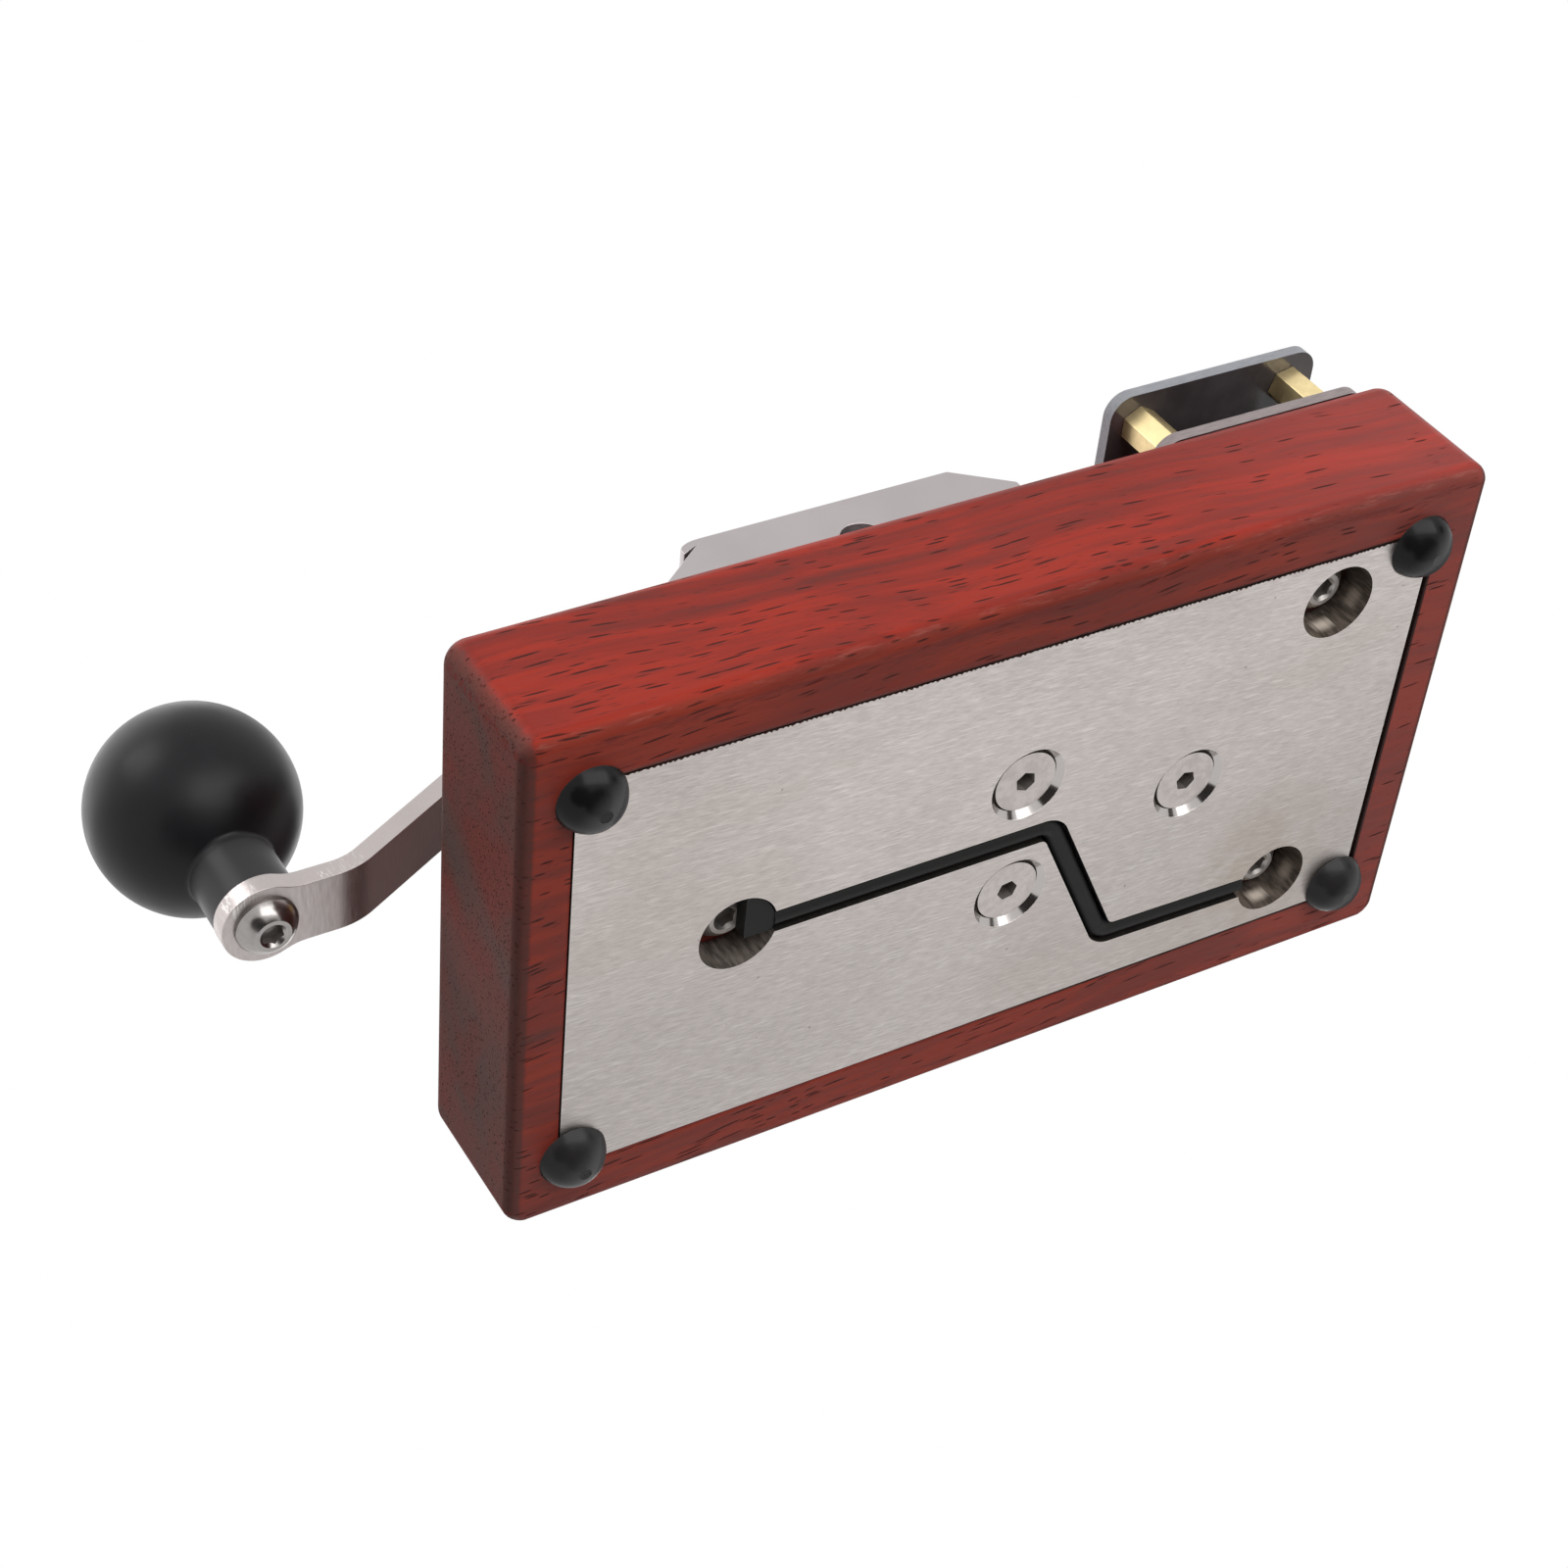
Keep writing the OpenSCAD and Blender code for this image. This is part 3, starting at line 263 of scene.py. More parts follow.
class Effect:
    """A shader node group that several finishes use, built once."""

    def __init__(self, name: str, inputs: dict[str, float | Triple], outputs: Sequence[str]) -> None:
        """Makes the group with its sockets.

        Args:
            name: The group's name.
            inputs: Its inputs with their default values.
            outputs: Its outputs, each one number.
        """
        self.tree = bpy.data.node_groups.new(name, "ShaderNodeTree")
        for label, value in inputs.items():
            kind = "NodeSocketVector" if isinstance(value, tuple) else "NodeSocketFloat"
            self.tree.interface.new_socket(label, in_out="INPUT", socket_type=kind).default_value = value
        for label in outputs:
            self.tree.interface.new_socket(label, in_out="OUTPUT", socket_type="NodeSocketFloat")
        self.nodes = Sockets(self.tree)
        start = self.tree.nodes.new("NodeGroupInput")
        self.start = {socket.name: Wire(self.nodes, socket) for socket in start.outputs}
        self.end = self.tree.nodes.new("NodeGroupOutput").inputs

    def give(self, label: str, value: Wire) -> None:
        """Links a value to one of the group's outputs."""
        self.nodes.feed(self.end[label], value)

    def use(self, nodes: Sockets, **values: Value) -> dict[str, Wire]:
        """Places the group among a material's nodes, and gives its outputs by name."""
        node = nodes.add("Group", values, node_tree=self.tree)
        return {socket.name: Wire(nodes, socket) for socket in node.outputs}

    def lay(self, nodes: Sockets, colour: Value, over: Colour, strength: float, **values: Value) -> Wire:
        """Lays a colour over another where the group's mask is."""
        return nodes.mix(self.use(nodes, **values)["Mask"] * strength, colour, over)


class Effects:
    """The shared effects: brushing, edge wear, painted shade in recesses, specks, screw threads and turning
    marks.
    """

    def __init__(self) -> None:
        """Builds each group once."""
        self.brushing = self._brushing()
        self.edges = self._edges()
        self.occlusion_shade = self._occlusion_shade()
        self.specks = self._specks()
        self.thread = self._thread()
        self.turning = self._turning()

    @staticmethod
    def _brushing() -> Effect:
        """Long thin lines, short brighter strokes and slow patches.

        Returns:
            The group.
        """
        inputs = {"Turn": ZERO, "Stretch": (5.0, 0.3, 5.0)}
        group = Effect("brushing", inputs, ("Lines", "Strokes", "Patches"))
        nodes = group.nodes
        place = nodes.place_mm(group.start["Stretch"], group.start["Turn"])
        group.give("Lines", nodes.noise(place, 1.0, 3.0, 0.65))
        group.give("Strokes", nodes.step(nodes.noise(place, 0.45, 1.0), 0.56, 0.74))
        group.give("Patches", nodes.noise(nodes.place_mm(), 0.06, 3.0, 0.55))
        return group

    @staticmethod
    def _edges() -> Effect:
        """A mask of the outer edges, where a finish is rubbed.

        Returns:
            The group.
        """
        group = Effect("edge_wear", {"Reach": 0.0003, "Ragged": 0.5}, ("Mask",))
        nodes = group.nodes
        rounded = nodes.out("Bevel", {"Radius": group.start["Reach"]}, samples=6)
        bend = nodes.step(nodes.vector("DOT_PRODUCT", rounded, nodes.normal()), 0.997, 0.86)
        ragged = nodes.noise(nodes.place_mm(), 1.7, 4.0, 0.6) * group.start["Ragged"]
        group.give("Mask", nodes.math("SUBTRACT", bend, ragged, clamp=True))
        return group

    @staticmethod
    def _occlusion_shade() -> Effect:
        """A mask of sockets, holes and gaps, where shade is painted.

        Returns:
            The group.
        """
        group = Effect("occlusion_shade", {"Reach": 0.003, "Open": 0.80, "Deep": 0.30}, ("Mask",))
        open_, deep = group.start["Open"], group.start["Deep"]
        # Painted shade: ambient occlusion picks out the enclosed places.
        seen = group.nodes.out("AmbientOcclusion", {"Distance": group.start["Reach"]}, "AO", samples=8)
        group.give("Mask", group.nodes.math("DIVIDE", open_ - seen, open_ - deep, clamp=True))
        return group

    @staticmethod
    def _specks() -> Effect:
        """Scattered specks of dust or pinholes.

        Returns:
            The group.
        """
        group = Effect("specks", {"Spacing": 1.0, "Size": 0.08, "Share": 0.5}, ("Mask",))
        nodes = group.nodes
        away, drawn = nodes.cells(nodes.place_mm(), nodes.math("DIVIDE", 1.0, group.start["Spacing"]))
        chosen = nodes.less(nodes.axes(drawn)[0], group.start["Share"])
        group.give("Mask", nodes.less(away, group.start["Size"]) * chosen)
        return group

    @staticmethod
    def _round_axis(group: Effect) -> tuple[Wire, ...]:
        """Gives x, y and z from a group's upright axis, and the distance from it."""
        x, y, z = group.nodes.axes(group.nodes.place_mm() - group.start["Axis"])
        return x, y, z, group.nodes.math("SQRT", x * x + y * y)

    def _thread(self) -> Effect:
        """A screw thread round an upright axis, near that axis only.

        Returns:
            The group.
        """
        group = Effect("thread", {"Axis": ZERO, "Pitch": 0.7, "Radius": 3.2}, ("Height", "Mask"))
        x, y, z, reach = self._round_axis(group)
        rise = z / group.start["Pitch"] - group.nodes.math("ARCTAN2", y, x) / (2 * math.pi)
        group.give("Height", group.nodes.math("PINGPONG", rise, 0.5) * 2.0)
        group.give("Mask", group.nodes.less(reach, group.start["Radius"]))
        return group

    def _turning(self) -> Effect:
        """Fine concentric marks of a lathe round an upright axis.

        Returns:
            The group.
        """
        group = Effect("turning", {"Axis": ZERO, "Pitch": 0.12}, ("Lines",))
        _, _, z, reach = self._round_axis(group)
        ring = group.nodes.out("CombineXYZ", {0: reach, 1: 0.0, 2: z})
        group.give("Lines", group.nodes.noise(ring, group.nodes.math("DIVIDE", 1.0, group.start["Pitch"])))
        return group


class Paint:
    """A material under work: its nodes and its main shader."""

    def __init__(self, name: str) -> None:
        """Starts a material.

        Args:
            name: The material's name.
        """
        self.material = bpy.data.materials.new(name)
        self.material.use_nodes = True
        self.nodes = Sockets(self.material.node_tree)
        self.shader = self.material.node_tree.nodes["Principled BSDF"]

    def set(self, **values: object) -> bpy.types.Material:
        """Sets or links inputs of the main shader.

        Args:
            **values: The inputs, with underscores for spaces.

        Returns:
            The material.
        """
        for label, value in values.items():
            self.nodes.feed(self.shader.inputs[label.replace("_", " ")], value)
        return self.material


class Finish(Protocol):
    """What every finish can do."""

    def paint(self, effects: Effects) -> bpy.types.Material:
        """Builds the finish's material."""


@dataclass(frozen=True)
class OiledHardwood:
    """Red hardwood with fibrous grain, short dark pores, brown end grain and worn rounded edges; painted
    sheen toward the rear and on the underside, painted shade in the plate's pocket and a painted shadow line
    by the long edges.
    """

    centre_mm: Triple = (0.0, 15.948, 13.9)
    half_mm: Triple = (36.8, 65.0, 10.5)
    edge_r_mm: float = 1.7
    soften_mm: float = 0.9
    bright: Colour = (0.48, 0.035, 0.0175)
    middle: Colour = (0.33, 0.027, 0.0165)
    dark: Colour = (0.185, 0.024, 0.018)
    pore: Colour = (0.022, 0.008, 0.007)
    painted_sheen: Colour = (0.86, 0.18, 0.165)
    underside_sheen: Colour = (0.77, 1.20, 1.20)
    end_light: Colour = (0.200, 0.060, 0.050)
    end_dark: Colour = (0.118, 0.064, 0.055)
    end_band: Colour = (0.118, 0.094, 0.086)
    rim: Colour = (0.080, 0.028, 0.023)
    corner: Colour = (0.25, 0.068, 0.053)
    worn: Colour = (0.56, 0.20, 0.16)
    pocket_shade: Colour = (0.024, 0.011, 0.009)
    pocket_mm: Triple = (29.6, 58.8, 6.0)
    band_mm: float = 7.3
    band_lean: float = 0.58
    grain: Triple = (math.radians(4.5), 0.0, math.radians(3.0))
    wander: Triple = (0.032, 0.034, 0.032)
    wander_mm: float = 5.0
    fine_grain: Triple = (3.6, 0.10, 3.6)
    broad_grain: Triple = (0.46, 0.024, 0.46)
    clouds: Triple = (0.075, 0.022, 0.075)
    grain_shares: Triple = (0.48, 0.14, 0.38)
    vein_mm: float = 1.5
    vein_lean: float = 0.42
    pores: tuple[Triple, ...] = ((0.64, 0.076, 0.29), (0.50, 0.12, 0.21), (0.34, 0.30, 0.30))
    pores_in_clouds: Ramp = (0.36, 0.58, 0.45, 1.0)
    pores_along: Ramp = (45.0, 15.0, 0.45, 1.0)
    painted_sheen_along: Ramp = (15.0, 66.0, 0.0, 0.19)
    painted_sheen_facing: Ramp = (0.0, 0.9, 0.80, 1.0)
    pocket_shade_along: Ramp = (-20.0, 20.0, 0.40, 0.94)
    shadow_band_inset_mm: float = 2.3

    def paint(self, effects: Effects) -> bpy.types.Material:
        """Builds the material.

        Args:
            effects: The shared effects.

        Returns:
            The material.
        """
        work = Paint("oiled_hardwood")
        nodes = work.nodes
        slow = {"Vector": nodes.place_mm(self.wander), "Scale": 1.0, "Detail": 1.0}
        drift = nodes.vector("SUBTRACT", nodes.out("TexNoise", slow, "Color"), (0.5, 0.5, 0.5))
        bent = nodes.place_mm(turn=self.grain) + drift * ((self.wander_mm,) * 3)
        fine = nodes.noise(bent * self.fine_grain, 1.0, *LAYERED)
        broad = nodes.noise(bent * self.broad_grain, 1.0, *LAYERED)
        cloud = nodes.noise(bent * self.clouds)
        of_broad, of_fine, of_cloud = self.grain_shares
        tone = broad * of_broad + fine * of_fine + cloud * of_cloud
        colour = nodes.mix(nodes.step(tone, 0.34, 0.47), self.dark, self.middle)
        colour = nodes.mix(nodes.step(tone, 0.46, 0.58), colour, self.bright)
        colour = nodes.mix(self._veins(nodes, bent, cloud), colour, self.dark)
        x, y, z = nodes.axes(nodes.place_mm() - self.centre_mm)
        side, ends, under = nodes.axes(nodes.normal())
        # Painted sheen: a pale pink veil that grows toward the rear.
        painted_sheen = nodes.step(y, *self.painted_sheen_along) * nodes.step(side, *self.painted_sheen_facing)
        colour = nodes.mix(painted_sheen, colour, self.painted_sheen)
        # Painted sheen: faces turned down are made less red and greyer.
        colour = nodes.mix(nodes.step(under, -0.4, -0.9), colour, self.underside_sheen, Blend.MULTIPLY)
        ends = nodes.step(abs(ends), 0.35, 0.80)
        colour = nodes.mix(ends, colour, self._end_grain(nodes, cloud, fine, x - z * self.band_lean))
        share = nodes.step(cloud, *self.pores_in_clouds) * nodes.step(y, *self.pores_along)
        pores, small, dots = (self._pores(nodes, bent, *kind, share) for kind in self.pores)
        for mask in (pores * 0.90, small * 0.40, dots * ends * 0.75):
            colour = nodes.mix(mask, colour, self.pore)
        colour, edge = self._edges(nodes, colour, fine)
        # Painted shade: the wood inside the plate's pocket is darkened, more toward the rear.
        half_x, half_y, top = self.pocket_mm
        inside = nodes.less(abs(x), half_x) * nodes.less(abs(y), half_y) * nodes.less(z, top)
        colour = nodes.mix(inside * nodes.step(y, *self.pocket_shade_along), colour, self.pocket_shade)
        dull = nodes.math("MAXIMUM", ends, edge)
        rough = nodes.step(fine, *MIDDLE, 0.40, 0.50) + pores * 0.3 + dull * 0.30
        rounded = nodes.out("Bevel", {"Radius": self.soften_mm * MM}, samples=8)
        bump = nodes.bump(fine * 0.30 - pores, 0.35, 0.10, rounded)
        return work.set(Base_Color=colour, Roughness=rough, Normal=bump, Specular_IOR_Level=0.20)

    def _veins(self, nodes: Sockets, bent: Wire, cloud: Wire) -> Wire:
        """Thin dark layers, in some places only.

        Args:
            nodes: The material's nodes.
            bent: The place along the grain.
            cloud: Slow noise that picks the places.

        Returns:
            The mask.
        """
        x, _, z = nodes.axes(bent)
        inputs = {"W": (x * self.vein_lean + z) / self.vein_mm, "Scale": 1.0, "Detail": 2.0}
        lines = nodes.out("TexNoise", inputs, noise_dimensions="1D")
        return nodes.step(lines, 0.55, 0.68) * nodes.step(cloud, 0.52, 0.40, 0.05, 0.50)

    def _end_grain(self, nodes: Sockets, cloud: Wire, fine: Wire, across: Wire) -> Wire:
        """The browner colour of the two end faces.

        Args:
            nodes: The material's nodes.
            cloud: Slow noise.
            fine: Fine noise.
            across: Distance across the growth layers in millimetres.

        Returns:
            The colour.
        """
        patch = nodes.noise(nodes.place_mm((0.07, 0.05, 0.12), (0.0, math.radians(35), 0.0)), 1.0, *LAYERED)
        colour = nodes.mix(nodes.step(patch * 0.7 + fine * 0.3, 0.34, 0.64), self.end_dark, self.end_light)
        colour = nodes.mix(nodes.step(cloud, 0.52, 0.62, 0.0, 0.25), colour, self.middle)
        off = abs(across - self.band_mm) + patch * 8.0
        colour = nodes.mix(nodes.step(off, 11.0, 4.5, 0.0, 0.55), colour, self.end_band)
        grit = nodes.noise(nodes.place_mm((4.2, 1.0, 4.2)), 1.0, 1.0)
        return nodes.mix(nodes.step(grit, 0.55, 0.70, 0.0, 0.70), colour, self.pore)

    def _edges(self, nodes: Sockets, colour: Wire, fine: Wire) -> tuple[Wire, Wire]:
        """Lays wear on the long rounded edges, darker colour on those of the ends and a painted shadow line
        by the long edges.

        Args:
            nodes: The material's nodes.
            colour: The wood's colour.
            fine: Fine noise.

        Returns:
            The colour with the edges, and the mask of the long ones.
        """
        away = nodes.vector("ABSOLUTE", nodes.place_mm() - self.centre_mm)
        past = nodes.vector("MAXIMUM", away - tuple(half - self.edge_r_mm for half in self.half_mm))
        x, y, z = nodes.axes(past * ((1 / self.edge_r_mm,) * 3))
        long_edge = nodes.math("MULTIPLY", x * z, 2.0, clamp=True)
        low_edge = nodes.step(y * z, -0.05, 0.28) * nodes.step(fine, 0.2, 0.8, 0.88, 0.70)
        scuff = nodes.noise(nodes.place_mm((1.6, 0.20, 1.6)), 1.0, 4.0, 0.7)
        light = nodes.math("POWER", long_edge, 3.0) * nodes.step(scuff, 0.50, 0.66, 0.05, 0.34)
        # Painted shadow: a broken dark band just in from the long sides.
        shadow_band = abs(nodes.axes(away)[0] - (self.half_mm[0] - self.shadow_band_inset_mm))
        shadow_band = nodes.step(shadow_band, 1.1, 0.1) * nodes.step(scuff, 0.56, 0.40, 0.0, 0.75)
        for mask, over in (
            (low_edge, self.rim), (nodes.step(x * y, -0.10, 0.30) * 0.50, self.corner),
            (shadow_band, self.dark), (nodes.math("MINIMUM", light, 0.6), self.worn),
        ):
            colour = nodes.mix(mask, colour, over)
        return colour, long_edge

    @staticmethod
    def _pores(nodes: Sockets, bent: Wire, spacing: float, stretch: float, size: float, share: Wire) -> Wire:
        """Scatters long narrow pores along the grain, more of them in some places.

        Args:
            nodes: The material's nodes.
            bent: The place along the grain.
            spacing: Distance between pores across the grain.
            stretch: Their spacing across the grain as a share of that along it.
            size: Their radius as a share of the spacing.
            share: How many of them show, from 0 to 1.

        Returns:
            The mask.
        """
        away, drawn = nodes.cells(bent * (1 / spacing, stretch / spacing, 1 / spacing), 1.0)
        return nodes.step(away, size, size * 0.55) * nodes.less(nodes.axes(drawn)[1], share)


@dataclass(frozen=True)
class BrushedSteel:
    """Flat stainless steel, brushed in one direction."""

    name: str
    colour: Colour = (0.50, 0.455, 0.435)
    turn: Triple = ZERO
    stretch: Triple = (6.0, 0.42, 6.0)
    rough: float = 0.34
    depth_mm: float = 0.010
    contrast: float = 1.0
    painted_slope_shade: Colour = ONE
    marks_mm: tuple[tuple[float, float, float, float, float], ...] = ()
    stroke: Colour = (0.72, 0.69, 0.67)
    speck: Colour = (0.16, 0.14, 0.12)
    rubbed: Colour = (0.78, 0.76, 0.74)
    scored: Colour = (0.95, 0.93, 0.91)

    def paint(self, effects: Effects) -> bpy.types.Material:
        """Builds the material.

        Args:
            effects: The shared effects.

        Returns:
            The material.
        """
        work = Paint(self.name)
        colour, rough, height = self.brushed(work.nodes, effects)
        bump = work.nodes.bump(height, 0.5, self.depth_mm)
        return work.set(Base_Color=colour, Metallic=1.0, Roughness=rough, Normal=bump)

    def brushed(self, nodes: Sockets, effects: Effects) -> tuple[Wire, Wire, Wire]:
        """Lays brushing, specks, rubbed edges and marks over the metal's colour.

        Args:
            nodes: The material's nodes.
            effects: The shared effects.

        Returns:
            The colour, the roughness and the height.
        """
        brush = effects.brushing.use(nodes, Turn=self.turn, Stretch=self.stretch)
        dip = 0.10 * self.contrast
        shade = nodes.step(brush["Lines"], *MIDDLE, 1.0 - dip, 1.0 + 0.6 * dip)
        shade = shade * nodes.step(brush["Patches"], *MIDDLE, 0.965, 1.02)
        _, back, up = nodes.axes(nodes.normal())
        # Painted reflection and shade: faces that slope down and back are made less red.
        slope_shade_mask = nodes.step(back, 0.15, 0.40) * nodes.step(up, -0.5, -0.8)
        colour = nodes.shade(self.colour, shade)
        colour = nodes.mix(slope_shade_mask, colour, self.painted_slope_shade, Blend.MULTIPLY)
        colour = nodes.mix(brush["Strokes"] * (0.30 * self.contrast), colour, self.stroke)
        colour = effects.specks.lay(nodes, colour, self.speck, 0.55, Spacing=5.0, Size=0.035, Share=0.4)
        colour = effects.edges.lay(nodes, colour, self.rubbed, 0.5, Reach=0.00022, Ragged=0.35)
        for *place, reach, strength in self.marks_mm:
            away = nodes.vector("LENGTH", nodes.place_mm() - tuple(place))
            lines = nodes.step(nodes.noise(nodes.place_mm((0.5, 3.0, 0.7)), 1.0, 2.0, 0.6), 0.53, 0.60)
            colour = nodes.mix(nodes.step(away, reach, reach * 0.6) * lines * strength, colour, self.scored)
        rough = nodes.step(brush["Lines"], 0.25, 0.75, self.rough + 0.07, self.rough - 0.07)
        return colour, rough, brush["Lines"] + brush["Strokes"] * 0.4


@dataclass(frozen=True)
class PlateSteel:
    """The brushed base plate: cut edge with painted shade in its notches, brown hole walls with painted
    glints and painted shade, painted light toward +x and the rear, polished countersinks and a stain.
    """

    metal: BrushedSteel
    half_w_mm: float = 29.2
    face_z_mm: float = 3.4
    sinks_mm: tuple[Pair, ...] = ((8.6, 17.648), (-8.6, 17.648), (0.0, 42.648))
    sink_r_mm: float = 5.2
    holes_mm: tuple[Pair, ...] = ((0.0, -20.85), (22.3, 60.45), (-22.3, 60.45))
    hole_r_mm: float = 5.25
    stain_mm: Pair = (-20.0, 57.0)
    stain_reach: Ramp = (21.0, 4.0, 0.0, 0.40)
    stain_spread: Ramp = (0.52, 0.66, 0.0, 0.14)
    gleam_across: Ramp = (-24.0, 20.0, 0.94, 1.12)
    gleam_along: Ramp = (-35.0, 5.0, 0.95, 1.02)
    rear_mm: Pair = (0.0, 30.0)
    notch_mm: float = 0.72
    glints: tuple[Ramp, ...] = ((0.99, -0.10, 0.0, 1.0), (0.42, -0.906, 0.0, 0.30))
    glint_deep_mm: float = 2.3
    glint: Colour = (0.90, 0.80, 0.70)
    painted_glow: Colour = (0.13, 0.105, 0.085)
    stain: Colour = (0.36, 0.29, 0.22)
    wall: Colour = (0.22, 0.188, 0.163)
    rear_wall: Colour = (0.90, 0.85, 0.81)
    channel: Colour = (0.012, 0.011, 0.010)
    wall_shade: Colour = (0.02, 0.017, 0.015)
    sink: Colour = (0.45, 0.425, 0.41)
    cut: Colour = (0.05, 0.025, 0.02)

    def paint(self, effects: Effects) -> bpy.types.Material:
        """Builds the material.

        Args:
            effects: The shared effects.

        Returns:
            The material.
        """
        work = Paint(self.metal.name)
        nodes = work.nodes
        colour, rough, height = self.metal.brushed(nodes, effects)
        colour = nodes.mix(self._stain(nodes), colour, self.stain)
        x, y, z = nodes.axes(nodes.place_mm())
        # Painted light: the plate is lighter toward +x and toward the rear.
        gleam = nodes.step(x, *self.gleam_across) * nodes.step(y, *self.gleam_along)
        colour = nodes.shade(colour, gleam)
        wall = nodes.step(abs(nodes.axes(nodes.normal("True Normal"))[2]), 0.45, 0.25)
        colour = nodes.mix(wall, colour, self._wall_colour(nodes, x, y))
        # Painted highlights: two soft glints on the rear holes' walls, which also glow through the emission.
        glint_mask = wall * self._painted_glints(nodes, y, z)
        colour = nodes.mix(glint_mask, colour, self.glint)
        # Painted shade: walls darken where they are tightly enclosed.
        tight_shade = effects.occlusion_shade.use(nodes, Reach=0.0016, Open=0.62, Deep=0.30)["Mask"]
        colour = nodes.mix(tight_shade * wall * 0.9, colour, self.wall_shade)
        sink = nodes.math("GREATER_THAN", z, self.face_z_mm + 0.02)
        sink = sink * self._near(nodes, x, y, self.sinks_mm, self.sink_r_mm)
        colour = nodes.mix(sink, colour, self.sink)
        # Painted shade: the notches along the long edge are coloured dark as the shade in them.
        colour = nodes.mix(self._cut_edge(nodes, x, y), colour, self.cut)
        return work.set(
            Base_Color=colour, Metallic=1.0 - wall * 0.65,
            Roughness=nodes.out("Mix", {0: sink, 2: rough + wall * 0.05, 3: 0.13}),
            Normal=nodes.bump(height * (1.0 - sink), 0.5, self.metal.depth_mm),
            Emission_Color=nodes.mix(glint_mask, ZERO, self.painted_glow), Emission_Strength=1.0,
        )

    def _stain(self, nodes: Sockets) -> Wire:
        """A faint yellowish stain round one hole, and a fainter one elsewhere.

        Args:
            nodes: The material's nodes.

        Returns:
            The mask.
        """
        reach = nodes.vector("LENGTH", nodes.place_mm((1.0, 1.0, 0.0)) - (*self.stain_mm, 0.0))
        patch = nodes.step(nodes.noise(nodes.place_mm(), 0.11, 3.0, 0.55), 0.38, 0.62)
        spread = nodes.noise(nodes.place_mm((1.0, 0.5, 1.0)), 0.035)
        return nodes.step(reach, *self.stain_reach) * patch + nodes.step(spread, *self.stain_spread)

    def _wall_colour(self, nodes: Sockets, x: Wire, y: Wire) -> Wire:
        """Brown with upright streaks, darker in the rear holes, and painted shade that makes the channel's
        walls nearly black.

        Args:
            nodes: The material's nodes.
            x: Place along x in millimetres.
            y: Place along y in millimetres.

        Returns:
            The colour.
        """
        streaks = nodes.step(nodes.noise(nodes.place_mm((1.8, 1.8, 0.35)), 1.0, *LAYERED), 0.30, 0.72)
        colour = nodes.mix(streaks, shaded(self.wall, 0.55), shaded(self.wall, 1.6))
        colour = nodes.mix(nodes.step(y, *self.rear_mm), colour, self.rear_wall, Blend.MULTIPLY)
        # Painted shade: walls away from the holes, those of the channel, are nearly black.
        away = 1.0 - self._near(nodes, x, y, self.holes_mm, self.hole_r_mm)
        return nodes.mix(away * 0.88, colour, self.channel)

    def _painted_glints(self, nodes: Sockets, y: Wire, z: Wire) -> Wire:
        """Two soft painted glints on the walls of the rear holes.

        Args:
            nodes: The material's nodes.
            y: Place along y in millimetres.
            z: Height in millimetres.

        Returns:
            The mask.
        """
        depth = abs(z - (self.face_z_mm + self.glint_deep_mm))
        normal = nodes.normal("True Normal")
        found: Value = 0.0
        for *toward, strength in self.glints:
            facing = nodes.step(nodes.vector("DOT_PRODUCT", normal, toward), 0.94, 1.0, 0.0, strength)
            found = nodes.math("MAXIMUM", found, facing)
        return nodes.step(y, *self.rear_mm) * nodes.step(depth, 1.5, 0.1) * found

    @staticmethod
    def _near(nodes: Sockets, x: Wire, y: Wire, centres_mm: Sequence[Pair], reach_mm: float) -> Value:
        """The places within reach of any of some points on the plate.

        Args:
            nodes: The material's nodes.
            x: Place along x in millimetres.
            y: Place along y in millimetres.
            centres_mm: The points.
            reach_mm: The reach.

        Returns:
            The mask.
        """
        found: Value = 0.0
        for centre_x, centre_y in centres_mm:
            dx, dy = x - centre_x, y - centre_y
            found = nodes.math("MAXIMUM", found, nodes.less(dx * dx + dy * dy, reach_mm**2))
        return found

    def _cut_edge(self, nodes: Sockets, x: Wire, y: Wire) -> Wire:
        """Notches that the cutting left along the plate's long edge, with painted shade in them.

        Args:
            nodes: The material's nodes.
            x: Place along x in millimetres.
            y: Place along y in millimetres.

        Returns:
            The mask.
        """
        wave = nodes.math("PINGPONG", y / self.notch_mm + nodes.noise(nodes.place_mm(), 0.5) * 2.2, 0.5)
        size = nodes.step(nodes.noise(nodes.place_mm((0.0, 0.35, 0.0)), 1.0, 1.0), 0.35, 0.65, 0.25, 0.62)
        return nodes.less(self.half_w_mm - x, wave * size - 0.03)


